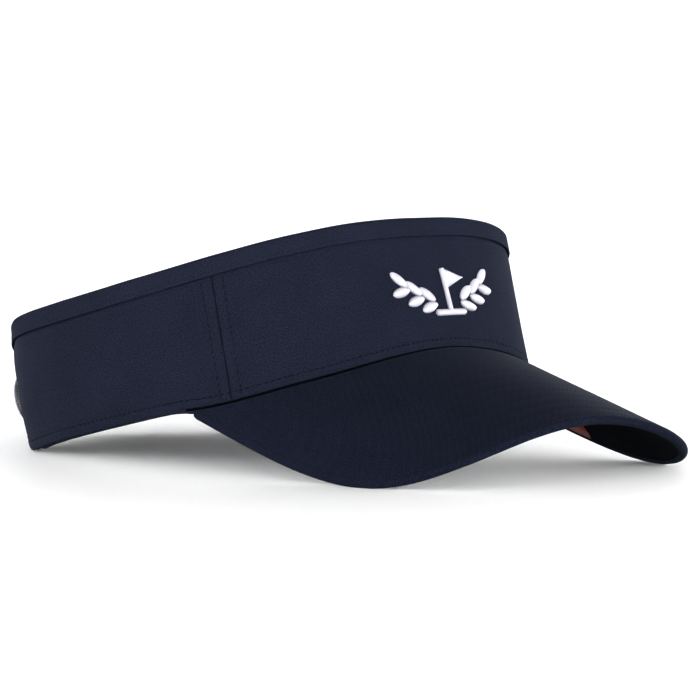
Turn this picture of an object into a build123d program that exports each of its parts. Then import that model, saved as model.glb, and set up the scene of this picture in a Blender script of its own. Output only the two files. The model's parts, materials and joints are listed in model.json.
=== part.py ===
"""Sun visor: open-crown fabric band, curved brim and hook-and-loop rear closure.

Everything is drawn in the worn frame (mm): Z runs up the band, -Y is the front,
-X is the wearer's right. `angle` runs round the band from the front centre (0)
to the rear centre (180), positive towards the wearer's right. `height` is the
worn Z, and `depth` is measured inwards from the outer face of the band fabric.
The last step tips the whole visor into the stance it takes on a table.
"""
import math
import os

from build123d import *

# ---- band: plan outline at height zero -------------------------------------
HALF_WIDTH = 91.0
FRONT_REACH = 104.2
REAR_REACH = 85.4
SQUARENESS = 2.446
REAR_ARC_HALF_ANGLE = 45.0

# ---- band: lean of the wall, degrees inwards from vertical ------------------
FRONT_LEAN = 6.2
SIDE_LEAN = -4.6

# ---- band: upper edge -------------------------------------------------------
TOP_FRONT = 59.3
TOP_SIDE = 49.9
TOP_REAR = 55.6
TOP_REAR_DIP = 9.0
REAR_DIP_START = 112.0
REAR_DIP_END = 165.0

# ---- band: lower edge behind the brim ---------------------------------------
BOTTOM_REAR = 0.0
BOTTOM_REAR_RISE = 15.0
BOTTOM_RISE_START = 119.0
BOTTOM_RISE_END = 159.0

# ---- brim -------------------------------------------------------------------
BRIM_CORNER_ANGLE = 69.2
BRIM_ROOT_HEIGHT = 8.4
BRIM_SLOPE = 30.0
BRIM_CROWN_RADIUS = 129.2
BRIM_SIDE_RADIUS = 72.0
BRIM_CROWN_HALF_ANGLE = 27.8
BRIM_SIDE_END_ANGLE = 78.0
BRIM_FRONT = 171.5
BRIM_SIDE_PULL = 86.6
BRIM_SIDE_FLARE = 1.6
BRIM_FRONT_PULL = 91.2
BRIM_THICKNESS = 3.4
BRIM_COVER = 0.8
BRIM_TOP_INSET = 1.4
BRIM_UNDER_INSET = 3.4
BRIM_BOARD_INSET = 4.8
BRIM_ZONE = 90.0
BRIM_ZONE_REACH = 95.0
BRIM_ZONE_LOW = -50.0
BRIM_ZONE_HIGH = 40.0

# ---- fabric layers, as depths behind the outer face -------------------------
SHELL = (0.0, 0.9)
INTERLINING = (1.0, 1.7)
FRONT_LINING = (1.8, 2.7)
SIDE_LINING = (1.0, 2.7)
SEAM_TAPE = (2.8, 3.3)
SWEATBAND = (3.4, 6.2)
SWEATBAND_FOAM = (3.9, 5.7)
TAPE = 0.6
SEAM_GAP = 0.05
EASE = 0.1

PANEL_SEAM_ANGLE = 57.0
SEAM_TAPE_HALF_ANGLE = 4.0
SEAM_TAPE_LOW = 29.6
SEAM_TAPE_HIGH = 44.6
BINDING_WIDTH = 7.0
SWEATBAND_HEIGHT = 30.0
SWEATBAND_HEM = 1.2
ROOT_DROP = 2.6
LABEL_THICKNESS = 0.35
LABEL_LOW = 4.0
LABEL_HIGH = 26.0
SIZE_LABEL_SPAN = (-140.0, -128.0)
CARE_LABEL_SPAN = (-125.0, -101.0)

# ---- front embroidery: a pin flag between two sprigs --------------------------
MOTIF_HEIGHT = 31.0
MOTIF_SHIFT = 2.0
MOTIF_RELIEF = 1.3
MOTIF_POLE = (2.2, 17.5)
MOTIF_FLAG = (11.5, 8.0)
MOTIF_GROUND = (17.0, 2.6)
LEAF = (4.3, 2.0)
LEAF_START = 11.0
LEAF_STEM_LOW = -5.6
LEAF_STEM_CURVE = 0.0135
LEAF_OFFSET = 2.5
LEAF_PITCH = 6.6
LEAVES_PER_SPRIG = 3

# ---- paper sticker under the brim's left side ---------------------------------
STICKER_CENTRE = (-85.0, -20.0)
STICKER_SIZE = (16.5, 20.0)
STICKER_EDGE_GAP = 4.6
STICKER_THICKNESS = 0.15

# ---- rear closure -----------------------------------------------------------
WING_END = 10.0
END_BINDING = 3.6
STRAP_LOW = 15.5
STRAP_HIGH = 33.0
STRAP_STANDOFF = 2.7
STRAP_THICKNESS = 1.4
STRAP_ROOT = 33.0
ROOT_FOLD_START = 15.0
ROOT_FOLD_STANDOFF = 1.1
PEEL_LINE = 14.0
PEEL_GAP = 0.75
TAB_FLARE_START = 34.0
TAB_FLARE_RADIUS = 30.0
TAB_FLARE_ANGLE = 14.0
HOOK_THICKNESS = 1.0
HOOK_INSET = 0.05
TAB_SETBACK = 5.0
LOOP_INSET = 0.6
LOOP_THICKNESS = 1.15
LOOP_START = 15.2
LOOP_END = 37.0

# ---- stance on a table ------------------------------------------------------
STANCE_TILT = 14.02

STEP = 5.0


def power(value, exponent):
    """Signed power, for the squared-off oval."""
    return math.copysign(abs(value) ** exponent, value)


def smooth(value):
    """Smooth step from 0 to 1."""
    v = min(max(value, 0.0), 1.0)
    return v * v * (3.0 - 2.0 * v)


# The rear of the oval is a true circular arc, so that the closure can slide on it.
_rear_lean_in = math.atan((HALF_WIDTH / REAR_REACH) ** (SQUARENESS / (2.0 * SQUARENESS - 2.0)))
REAR_JOIN_ANGLE = 180.0 - math.degrees(_rear_lean_in)
_join_x = HALF_WIDTH * math.sin(_rear_lean_in) ** (2.0 / SQUARENESS)
_join_y = REAR_REACH * math.cos(_rear_lean_in) ** (2.0 / SQUARENESS)
REAR_RADIUS = _join_x / math.sin(math.radians(REAR_ARC_HALF_ANGLE))
REAR_CENTRE_Y = _join_y - REAR_RADIUS * math.cos(math.radians(REAR_ARC_HALF_ANGLE))


def plan(angle):
    """Outer plan point (x, y) and its outward normal, at height zero."""
    bend = abs(angle)
    side = -1.0 if angle >= 0 else 1.0
    if bend <= REAR_JOIN_ANGLE:
        reach = FRONT_REACH if bend <= 90.0 else REAR_REACH
        across = math.sin(math.radians(bend)) ** (2.0 / SQUARENESS)
        along = -power(math.cos(math.radians(bend)), 2.0 / SQUARENESS)
        nx = across ** (SQUARENESS - 1.0) / HALF_WIDTH
        ny = power(along, SQUARENESS - 1.0) / reach
        size = math.hypot(nx, ny)
        return side * HALF_WIDTH * across, reach * along, side * nx / size, ny / size
    turn = math.radians(REAR_ARC_HALF_ANGLE * (180.0 - bend) / (180.0 - REAR_JOIN_ANGLE))
    x = side * REAR_RADIUS * math.sin(turn)
    y = REAR_CENTRE_Y + REAR_RADIUS * math.cos(turn)
    return x, y, side * math.sin(turn), math.cos(turn)


def lean(angle):
    """Inward lean of the wall in degrees."""
    bend = abs(angle)
    if bend <= 90.0:
        return SIDE_LEAN + (FRONT_LEAN - SIDE_LEAN) * math.cos(math.radians(bend)) ** 2
    return SIDE_LEAN * (1.0 - smooth((bend - 90.0) / (REAR_JOIN_ANGLE - 90.0)))


def wall_point(angle, height, depth=0.0):
    """Point of the band wall, at a height and a depth behind the outer face."""
    x, y, nx, ny = plan(angle)
    inward = depth + math.tan(math.radians(lean(angle))) * height
    return x - nx * inward, y - ny * inward, height


def arch_drop(x):
    """How far the arched brim section falls below its crown line at x."""
    half_turn = math.radians(BRIM_CROWN_HALF_ANGLE)
    if abs(x) < BRIM_CROWN_RADIUS * math.sin(half_turn):
        return BRIM_CROWN_RADIUS - math.sqrt(BRIM_CROWN_RADIUS**2 - x * x)
    shift = BRIM_CROWN_RADIUS - BRIM_SIDE_RADIUS
    reach = abs(x) - shift * math.sin(half_turn)
    side = math.sqrt(BRIM_SIDE_RADIUS**2 - reach * reach)
    return BRIM_CROWN_RADIUS - shift * math.cos(half_turn) - side


def brim_height(x, y):
    """Height of the brim's upper face."""
    slope = math.radians(BRIM_SLOPE)
    return BRIM_ROOT_HEIGHT + math.tan(slope) * (y + FRONT_REACH) - arch_drop(x) / math.cos(slope)


def rise_between(angle, start, end):
    """0 ahead of one bend angle, rising to 1 behind another."""
    return smooth((abs(angle) - start) / (end - start))


def bottom_height(angle):
    """Visible lower edge of the band: along the brim, then along the wing."""
    x, y, _, _ = plan(angle)
    if abs(angle) < BRIM_CORNER_ANGLE:
        return brim_height(x, y)
    corner_x, corner_y, _, _ = plan(BRIM_CORNER_ANGLE)
    corner = brim_height(corner_x, corner_y)
    share = (y - corner_y) / (REAR_REACH - corner_y)
    rise = BOTTOM_REAR_RISE * rise_between(angle, BOTTOM_RISE_START, BOTTOM_RISE_END)
    return corner + (BOTTOM_REAR - corner) * min(share, 1.0) + rise


def top_height(angle):
    """Upper edge of the band fabric."""
    second = (TOP_FRONT + TOP_REAR) / 4.0 - TOP_SIDE / 2.0
    first = (TOP_FRONT - TOP_REAR) / 2.0
    turn = math.radians(angle)
    wave = TOP_SIDE + second + first * math.cos(turn) + second * math.cos(2.0 * turn)
    return wave - TOP_REAR_DIP * rise_between(angle, REAR_DIP_START, REAR_DIP_END)


def hidden_bottom_height(angle):
    """Lower edge of the band layers, which pass down behind the brim's root."""
    drop = ROOT_DROP * smooth((BRIM_CORNER_ANGLE + 6.0 - abs(angle)) / 14.0)
    return bottom_height(angle) - drop


def wall_angles(start, end):
    """Angles along the wall: both ends, and the shared grid between them."""
    low, high = min(start, end), max(start, end)
    grid = [STEP * i for i in range(int(-180.0 / STEP), int(180.0 / STEP) + 1)]
    inner = [a for a in grid if low + 0.35 * STEP < a < high - 0.35 * STEP]
    angles = [low] + inner + [high]
    if len(angles) < 3:
        angles.insert(1, (low + high) / 2.0)
    return angles if start < end else angles[::-1]


def wall_plane(angle):
    """Upright plane across the wall: X inwards from its foot, Y up."""
    x, y, nx, ny = plan(angle)
    inward = Vector(-nx, -ny, 0)
    return Plane(origin=(x, y, 0), x_dir=inward, z_dir=inward.cross(Vector(0, 0, 1)))


def wall_loft(start, end, corners):
    """Wall lofted through cross sections; corners(angle) lists (depth, height)."""
    with BuildPart() as piece:
        for angle in wall_angles(start, end):
            slant = math.tan(math.radians(lean(angle)))
            outline = [(depth + slant * height, height) for depth, height in corners(angle)]
            with BuildSketch(wall_plane(angle)):
                with BuildLine():
                    Polyline(*outline, close=True)
                make_face()
        loft()
    return piece.part


def wall_layer(start, end, depths, lower, upper):
    """Flat layer of the wall between two depths and two edge lines."""

    def corners(angle):
        low, high = lower(angle), upper(angle)
        return [(depths[0], low), (depths[1], low), (depths[1], high), (depths[0], high)]

    return wall_loft(start, end, corners)


def outer_zone(clearance):
    """Space ahead of the band wall, used to trim the brim's root."""
    return wall_layer(-BRIM_ZONE, BRIM_ZONE, (-BRIM_ZONE_REACH, -clearance),
                      lambda a: BRIM_ZONE_LOW, lambda a: BRIM_ZONE_HIGH)


def brim_sheet(upper, lower):
    """Arched sheet between two depths below the brim's upper face."""
    slope = math.radians(BRIM_SLOPE)
    forward = Vector(0, -math.cos(slope), -math.sin(slope))
    back, reach = 70.0, 175.0
    origin = Vector(0, -FRONT_REACH, BRIM_ROOT_HEIGHT) - forward * back
    section = Plane(origin=origin, x_dir=(1, 0, 0), z_dir=forward)
    half_turn = BRIM_CROWN_HALF_ANGLE
    side_turn = BRIM_SIDE_END_ANGLE - half_turn
    shift = BRIM_CROWN_RADIUS - BRIM_SIDE_RADIUS
    side_x = shift * math.sin(math.radians(half_turn))
    side_y = -BRIM_CROWN_RADIUS + shift * math.cos(math.radians(half_turn))
    with BuildPart() as sheet:
        with BuildSketch(section):
            with BuildLine():
                ends = []
                for depth in (upper, lower):
                    CenterArc((0, -BRIM_CROWN_RADIUS), BRIM_CROWN_RADIUS - depth,
                              90.0 - half_turn, 2.0 * half_turn)
                    right = CenterArc((side_x, side_y), BRIM_SIDE_RADIUS - depth,
                                      90.0 - half_turn, -side_turn)
                    left = CenterArc((-side_x, side_y), BRIM_SIDE_RADIUS - depth,
                                     90.0 + half_turn, side_turn)
                    ends.append((right @ 1, left @ 1))
                Line(ends[0][0], ends[1][0])
                Line(ends[0][1], ends[1][1])
            make_face()
        extrude(amount=reach)
    return sheet.part


def brim_outline(inset):
    """Upright prism of the brim's plan outline, drawn in by `inset`."""
    corner_x, corner_y, _, _ = plan(-BRIM_CORNER_ANGLE)
    root = (corner_x - inset, corner_y)
    side = (corner_x + BRIM_SIDE_FLARE - inset, corner_y - BRIM_SIDE_PULL)
    front = (BRIM_FRONT_PULL - inset, inset - BRIM_FRONT)
    nose = (0, inset - BRIM_FRONT)
    with BuildPart() as prism:
        with BuildSketch(Plane.XY.offset(-120.0)):
            with BuildLine():
                right = Bezier(root, side, front, nose)
                mirror(right, about=Plane.YZ)
                Line(root, (-root[0], root[1]))
            make_face()
        extrude(amount=200.0)
    return prism.part


def rear_arc(inner, outer, start, end, low, high):
    """Curved strip on the rear arc, between two stand-offs and two rear angles."""
    centre = (0, REAR_CENTRE_Y)
    first = 90.0 - start
    with BuildPart() as strip:
        with BuildSketch(Plane.XY.offset(low)):
            with BuildLine():
                near = CenterArc(centre, REAR_RADIUS + inner, first, start - end)
                far = CenterArc(centre, REAR_RADIUS + outer, first, start - end)
                Line(near @ 0, far @ 0)
                Line(near @ 1, far @ 1)
            make_face()
        extrude(amount=high - low)
    return strip.part


def flared_strip(inner, outer, start, inset, setback):
    """Strip that follows the rear arc from `start`, then curls away to its tip."""
    low = STRAP_LOW + inset
    high = STRAP_HIGH - inset
    centre_line = STRAP_STANDOFF + STRAP_THICKNESS / 2.0
    hub = REAR_RADIUS + centre_line + TAB_FLARE_RADIUS
    flare_from = math.radians(90.0 + TAB_FLARE_START)
    hub_x = hub * math.cos(flare_from)
    hub_y = REAR_CENTRE_Y + hub * math.sin(flare_from)
    back = 270.0 + TAB_FLARE_START
    tip_turn = TAB_FLARE_ANGLE - math.degrees(setback / TAB_FLARE_RADIUS)
    with BuildPart() as strip:
        with BuildSketch(Plane.XY.offset(low)):
            with BuildLine():
                sides = []
                for standoff in (inner, outer):
                    main = CenterArc((0, REAR_CENTRE_Y), REAR_RADIUS + standoff,
                                     90.0 + start, TAB_FLARE_START - start)
                    radius = TAB_FLARE_RADIUS - standoff + centre_line
                    curl = CenterArc((hub_x, hub_y), radius, back, -tip_turn)
                    sides.append((main @ 0, curl @ 1))
                Line(sides[0][0], sides[1][0])
                Line(sides[0][1], sides[1][1])
            make_face()
        extrude(amount=high - low)
        # the tip is cut to a half round in the strip's own height
        tip_angle = math.radians(90.0 + TAB_FLARE_START)
        along = Vector(-math.sin(tip_angle), math.cos(tip_angle), 0)
        out = Vector(math.cos(tip_angle), math.sin(tip_angle), 0)
        half = (high - low) / 2.0
        base = Vector(0, REAR_CENTRE_Y, 0) + out * REAR_RADIUS
        reach = TAB_FLARE_RADIUS * math.sin(math.radians(tip_turn))
        with BuildSketch(Plane(origin=base - out * 40.0, x_dir=along, z_dir=out)):
            with Locations((reach - half, (low + high) / 2.0)):
                Circle(half)
            with Locations((reach - half - 60.0, (low + high) / 2.0)):
                Rectangle(120.0, 2.0 * half)
        extrude(amount=90.0, mode=Mode.INTERSECT)
    return strip.part


def tangent_plane(angle, height):
    """Plane that touches the band wall, with its Y axis up the wall."""
    x, y, nx, ny = plan(angle)
    tilt = math.radians(lean(angle))
    outward = Vector(nx * math.cos(tilt), ny * math.cos(tilt), math.sin(tilt))
    origin = wall_point(angle, height)
    sideways = Vector(0, 0, 1).cross(outward)
    return Plane(origin=origin, x_dir=sideways, z_dir=outward)


pieces = {}


def finish(name, part):
    """Keep a piece under its name."""
    part.label = name
    pieces[name] = part


# ---- outer panels -----------------------------------------------------------
ARC_SCALE = (180.0 - REAR_JOIN_ANGLE) / REAR_ARC_HALF_ANGLE
wing_end = 180.0 - WING_END * ARC_SCALE
front_span = PANEL_SEAM_ANGLE - SEAM_GAP
SIDES = (("right", 1.0), ("left", -1.0))

finish("front_panel", wall_layer(-front_span, front_span, SHELL, hidden_bottom_height, top_height))
finish("front_interlining",
       wall_layer(-front_span, front_span, INTERLINING, hidden_bottom_height, top_height))
finish("front_lining",
       wall_layer(-front_span, front_span, FRONT_LINING, hidden_bottom_height, top_height))

for side_name, side in SIDES:
    first = side * (PANEL_SEAM_ANGLE + SEAM_GAP)
    last = side * wing_end
    finish("side_panel_" + side_name,
           wall_layer(first, last, SHELL, hidden_bottom_height, top_height))
    finish("side_lining_" + side_name,
           wall_layer(first, last, SIDE_LINING, hidden_bottom_height, top_height))
    tape_from = side * (PANEL_SEAM_ANGLE - SEAM_TAPE_HALF_ANGLE)
    tape_to = side * (PANEL_SEAM_ANGLE + SEAM_TAPE_HALF_ANGLE)
    finish("seam_tape_" + side_name,
           wall_layer(tape_from, tape_to, SEAM_TAPE, lambda a: SEAM_TAPE_LOW, lambda a: SEAM_TAPE_HIGH))

# ---- tape bindings folded over the raw edges --------------------------------
STACK = FRONT_LINING[1]


def binding_corners(angle):
    """Inverted U over the top edge, a little deeper outside than inside."""
    top = top_height(angle)
    low = top - BINDING_WIDTH
    outer, inner = -EASE, STACK + EASE
    return [(outer - TAPE, low), (outer, low), (outer, top + EASE), (inner, top + EASE),
            (inner, low), (inner + TAPE, low), (inner + TAPE, top + TAPE), (outer - TAPE, top + TAPE)]


finish("top_binding", wall_loft(-wing_end, wing_end, binding_corners))

end_turn = math.degrees(END_BINDING / REAR_RADIUS) * ARC_SCALE
cap_turn = math.degrees((TAPE + EASE) / REAR_RADIUS) * ARC_SCALE
ease_turn = math.degrees(EASE / REAR_RADIUS) * ARC_SCALE


def end_low(angle):
    return bottom_height(angle) - EASE


def end_high(angle):
    return top_height(angle) - BINDING_WIDTH - 0.3


for side_name, side in SIDES:
    with BuildPart() as wing_end_binding:
        add(wall_layer(side * (wing_end - end_turn), side * (wing_end + cap_turn),
                       (-TAPE - EASE, STACK + TAPE + EASE), end_low, end_high))
        add(wall_layer(side * (wing_end - 2.0 * end_turn), side * (wing_end + ease_turn),
                       (-EASE, STACK + EASE), lambda a: 0.0, top_height), mode=Mode.SUBTRACT)
    finish("wing_end_binding_" + side_name, wing_end_binding.part)

# ---- sweatband --------------------------------------------------------------
sweat_span = wing_end - end_turn - 0.4
foam_end = 1.0


def sweatband_top(angle):
    return bottom_height(angle) + SWEATBAND_HEIGHT


finish("sweatband_foam",
       wall_layer(-sweat_span + foam_end, sweat_span - foam_end, SWEATBAND_FOAM,
                  lambda a: hidden_bottom_height(a) + SWEATBAND_HEM,
                  lambda a: sweatband_top(a) - SWEATBAND_HEM))

pocket = wall_layer(-sweat_span + foam_end - 0.1, sweat_span - foam_end + 0.1,
                    (SWEATBAND_FOAM[0] - EASE, SWEATBAND_FOAM[1] + EASE),
                    lambda a: hidden_bottom_height(a) + SWEATBAND_HEM - EASE,
                    lambda a: sweatband_top(a) - SWEATBAND_HEM + EASE)
with BuildPart() as sweatband_cover:
    add(wall_layer(-sweat_span, sweat_span, SWEATBAND, hidden_bottom_height, sweatband_top))
    add(pocket, mode=Mode.SUBTRACT)
finish("sweatband_cover", sweatband_cover.part)

# ---- blank labels sewn to the sweatband -------------------------------------
label_depths = (SWEATBAND[1] + EASE, SWEATBAND[1] + EASE + LABEL_THICKNESS)
for label_name, label_span in (("size_label", SIZE_LABEL_SPAN), ("care_label", CARE_LABEL_SPAN)):
    finish(label_name, wall_layer(*label_span, label_depths,
                                  lambda a: bottom_height(a) + LABEL_LOW,
                                  lambda a: bottom_height(a) + LABEL_HIGH))

# ---- brim -------------------------------------------------------------------
cover_zone = outer_zone(0.12)
board_zone = outer_zone(1.2)
middle = BRIM_THICKNESS / 2.0
board_prism = brim_outline(BRIM_BOARD_INSET)
hollow_prism = brim_outline(BRIM_BOARD_INSET - EASE)

with BuildPart() as brim_board:
    add(brim_sheet(BRIM_COVER + EASE, BRIM_THICKNESS - BRIM_COVER - EASE))
    add(board_prism, mode=Mode.INTERSECT)
    add(board_zone, mode=Mode.INTERSECT)
finish("brim_board", brim_board.part)

board_hollow = brim_sheet(BRIM_COVER, BRIM_THICKNESS - BRIM_COVER) & hollow_prism
top_faces = (0.0, middle - EASE / 2.0)
under_faces = (middle + EASE / 2.0, BRIM_THICKNESS)
for cover_name, faces, inset in (("brim_top_cover", top_faces, BRIM_TOP_INSET),
                                 ("brim_under_cover", under_faces, BRIM_UNDER_INSET)):
    with BuildPart() as cover:
        add(brim_sheet(*faces))
        add(brim_outline(inset), mode=Mode.INTERSECT)
        add(cover_zone, mode=Mode.INTERSECT)
        add(board_hollow, mode=Mode.SUBTRACT)
    finish(cover_name, cover.part)

# ---- front embroidery -------------------------------------------------------
motif_plane = tangent_plane(-MOTIF_SHIFT, MOTIF_HEIGHT)
motif_wall = wall_layer(-30.0, 30.0, (-MOTIF_RELIEF, -EASE), bottom_height, top_height)
pole_width, pole_height = MOTIF_POLE
with BuildPart() as front_embroidery:
    with BuildSketch(motif_plane):
        Rectangle(pole_width, pole_height)
        with BuildLine():
            mast = pole_width / 2.0 - 0.1
            masthead = pole_height / 2.0 - 0.1
            fly, hoist = MOTIF_FLAG
            Polyline((mast, masthead), (fly, masthead - hoist / 2.0), (mast, masthead - hoist), close=True)
        make_face()
        with Locations((0, -pole_height / 2.0)):
            SlotOverall(*MOTIF_GROUND)
        for side in (1.0, -1.0):
            for leaf in range(LEAVES_PER_SPRIG):
                x = side * (LEAF_START + LEAF_PITCH * leaf)
                stem_y = LEAF_STEM_LOW + LEAF_STEM_CURVE * x * x
                for row, turn in ((1.0, 38.0), (-1.0, -12.0)):
                    spot = (x, stem_y + row * LEAF_OFFSET)
                    with Locations(Location(spot, side * (turn + 2.0 * leaf))):
                        Ellipse(*LEAF)
    extrude(amount=14.0, both=True)
    add(motif_wall, mode=Mode.INTERSECT)
finish("front_embroidery", front_embroidery.part)

# ---- sticker under the brim ---------------------------------------------------
sticker_sheet = brim_sheet(BRIM_THICKNESS + 0.05, BRIM_THICKNESS + 0.05 + STICKER_THICKNESS)
with BuildPart() as under_brim_sticker:
    with BuildSketch(Plane.YZ.offset(50.0)):
        with Locations(STICKER_CENTRE):
            RectangleRounded(*STICKER_SIZE, 3.0)
    extrude(amount=50.0)
    add(sticker_sheet, mode=Mode.INTERSECT)
    add(brim_outline(STICKER_EDGE_GAP), mode=Mode.INTERSECT)
finish("under_brim_sticker", under_brim_sticker.part)

# ---- hook-and-loop rear closure ---------------------------------------------
strap_inner = STRAP_STANDOFF
strap_outer = STRAP_STANDOFF + STRAP_THICKNESS
with BuildPart() as closure_strap:
    add(rear_arc(strap_inner, strap_outer, -PEEL_LINE + PEEL_GAP, STRAP_ROOT, STRAP_LOW, STRAP_HIGH))
    add(rear_arc(ROOT_FOLD_STANDOFF, strap_inner, ROOT_FOLD_START, STRAP_ROOT, STRAP_LOW, STRAP_HIGH))
finish("closure_strap", closure_strap.part)

with BuildPart() as closure_tab:
    add(flared_strip(strap_inner, strap_outer, PEEL_LINE + PEEL_GAP, 0.0, TAB_SETBACK))
finish("closure_tab", closure_tab.part)

with BuildPart() as hook_pad:
    add(flared_strip(strap_inner - HOOK_THICKNESS, strap_inner - 0.02, PEEL_LINE + 2.0, HOOK_INSET, 0.0))
finish("hook_pad", hook_pad.part)

finish("loop_pad",
       wall_layer(180.0 - LOOP_END * ARC_SCALE, 180.0 - LOOP_START * ARC_SCALE,
                  (-LOOP_THICKNESS, -EASE),
                  lambda a: STRAP_LOW + LOOP_INSET, lambda a: STRAP_HIGH - LOOP_INSET))

# ---- stance: tip the visor onto its brim edges and rear edge, centre its box --
tipped = {name: Rot(-STANCE_TILT, 0, 0) * part for name, part in pieces.items()}
boxes = [part.bounding_box() for part in tipped.values()]
low_x, high_x = min(b.min.X for b in boxes), max(b.max.X for b in boxes)
low_y, high_y = min(b.min.Y for b in boxes), max(b.max.Y for b in boxes)
floor = min(b.min.Z for b in boxes)
home = Pos(-(low_x + high_x) / 2.0, -(low_y + high_y) / 2.0, -floor)

os.makedirs("parts", exist_ok=True)
for name, part in tipped.items():
    placed = home * part
    placed.label = name
    export_step(placed, "parts/" + name + ".step")
print("size", high_x - low_x, high_y - low_y, max(b.max.Z for b in boxes) - floor)
print("origin of the worn frame", home.position)
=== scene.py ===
"""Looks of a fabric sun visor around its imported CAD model.

Sizes are in millimetres in the worn frame, as in the part's source: Z up the band, -Y front,
-X the wearer's right. `angle` runs round the band from the front centre (0) to the rear (180),
positive towards the wearer's right, and `arc` is the same way round in millimetres. `depth` is
measured inwards from the outer face. place() turns worn millimetres into metres at rest.
"""
import json
import math

import bmesh
import bpy
import numpy as np
from mathutils import Euler, Matrix


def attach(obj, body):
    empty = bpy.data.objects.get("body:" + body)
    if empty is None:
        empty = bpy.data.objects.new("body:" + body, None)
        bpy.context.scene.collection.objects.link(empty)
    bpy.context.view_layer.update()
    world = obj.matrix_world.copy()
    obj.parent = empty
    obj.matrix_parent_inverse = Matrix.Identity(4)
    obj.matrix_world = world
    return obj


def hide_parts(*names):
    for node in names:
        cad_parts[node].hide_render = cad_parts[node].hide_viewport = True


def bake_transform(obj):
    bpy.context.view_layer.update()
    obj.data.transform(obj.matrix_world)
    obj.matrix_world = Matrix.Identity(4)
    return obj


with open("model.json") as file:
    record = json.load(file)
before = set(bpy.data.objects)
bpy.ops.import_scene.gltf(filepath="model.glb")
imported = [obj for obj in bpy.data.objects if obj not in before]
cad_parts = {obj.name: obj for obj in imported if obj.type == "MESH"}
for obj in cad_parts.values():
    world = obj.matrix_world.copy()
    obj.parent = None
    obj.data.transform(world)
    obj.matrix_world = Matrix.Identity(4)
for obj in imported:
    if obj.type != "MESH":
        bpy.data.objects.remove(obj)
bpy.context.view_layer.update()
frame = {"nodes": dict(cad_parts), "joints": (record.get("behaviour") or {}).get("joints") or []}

# ---- sizes shared with the part's source
HALF_WIDTH, FRONT_REACH, REAR_REACH, SQUARENESS = 91.0, 104.2, 85.4, 2.446
REAR_ARC_HALF_ANGLE = 45.0
FRONT_LEAN, SIDE_LEAN = 6.2, -4.6
TOP_FRONT, TOP_SIDE, TOP_REAR, TOP_REAR_DIP = 59.3, 49.9, 55.6, 9.0
REAR_DIP_START, REAR_DIP_END = 112.0, 165.0
BOTTOM_REAR, BOTTOM_REAR_RISE = 0.0, 15.0
BOTTOM_RISE_START, BOTTOM_RISE_END = 119.0, 159.0
BRIM_CORNER_ANGLE, BRIM_ROOT_HEIGHT, BRIM_SLOPE = 69.2, 8.4, math.radians(30.0)
BRIM_CROWN_RADIUS, BRIM_SIDE_RADIUS = 129.2, 72.0
BRIM_CROWN_HALF_ANGLE = math.radians(27.8)
BRIM_FRONT, BRIM_SIDE_PULL, BRIM_SIDE_FLARE, BRIM_FRONT_PULL = 171.5, 86.6, 1.6, 91.2
BRIM_THICKNESS = 3.4
PANEL_SEAM_ANGLE = 57.0
BINDING_WIDTH = 7.0
SWEATBAND_HEIGHT = 30.0
ROOT_DROP = 2.6
WING_END, END_BINDING = 10.0, 3.6
STACK = 2.7
STRAP_LOW, STRAP_HIGH, STRAP_STANDOFF, STRAP_THICKNESS = 15.5, 33.0, 2.7, 1.4
STRAP_ROOT, PEEL_LINE = 33.0, 14.0
TAB_FLARE_START, TAB_FLARE_RADIUS, TAB_FLARE_ANGLE = 34.0, 30.0, 14.0
TAB_SETBACK, LOOP_INSET = 5.0, 0.6
LOOP_START, LOOP_END = 15.2, 37.0
MOTIF_HEIGHT, MOTIF_SHIFT = 31.0, 2.0
MOTIF_POLE, MOTIF_FLAG, MOTIF_GROUND = (2.2, 17.5), (11.5, 8.0), (17.0, 2.6)
LEAF, LEAF_START, LEAF_PITCH, LEAVES_PER_SPRIG = (4.3, 2.0), 11.0, 6.6, 3
LEAF_STEM_LOW, LEAF_STEM_CURVE, LEAF_OFFSET = -5.6, 0.0135, 2.5
LABEL_SPANS = (("size_label", (-140.0, -128.0)), ("care_label", (-125.0, -101.0)))
LABEL_LOW, LABEL_HIGH = 4.0, 26.0

# ---- sizes of the sewing
HEM_ROW = 3.7
SEAM_ROW = 4.2
BINDING_ROW = 1.7
BRIM_FIRST_ROW, BRIM_ROW_PITCH, BRIM_ROWS = 3.6, 6.6, 8
RIM_STRIP = 2.8
STITCH_PITCH = 2.5
THREAD = 0.17
TOP_CURL, LOWER_CURL = 1.7, 1.0


def smooth(value):
    v = np.clip(value, 0.0, 1.0)
    return v * v * (3.0 - 2.0 * v)


def power(value, exponent):
    return np.sign(value) * np.abs(value) ** exponent


def run_along(line):
    """Distance covered at each point of a line."""
    return np.concatenate([[0.0], np.cumsum(np.linalg.norm(np.diff(line, axis=0), axis=1))])


def sampled(line, at, where):
    """The line's coordinates at given places, where its points are known to be."""
    return np.stack([np.interp(at, where, line[:, k]) for k in range(line.shape[1])], -1)


# ---- the band's wall
_join = math.atan((HALF_WIDTH / REAR_REACH) ** (SQUARENESS / (2.0 * SQUARENESS - 2.0)))
REAR_JOIN_ANGLE = 180.0 - math.degrees(_join)
REAR_RADIUS = HALF_WIDTH * math.sin(_join) ** (2.0 / SQUARENESS) / math.sin(math.radians(REAR_ARC_HALF_ANGLE))
REAR_CENTRE_Y = (REAR_REACH * math.cos(_join) ** (2.0 / SQUARENESS)
                 - REAR_RADIUS * math.cos(math.radians(REAR_ARC_HALF_ANGLE)))
ARC_SCALE = (180.0 - REAR_JOIN_ANGLE) / REAR_ARC_HALF_ANGLE


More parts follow.
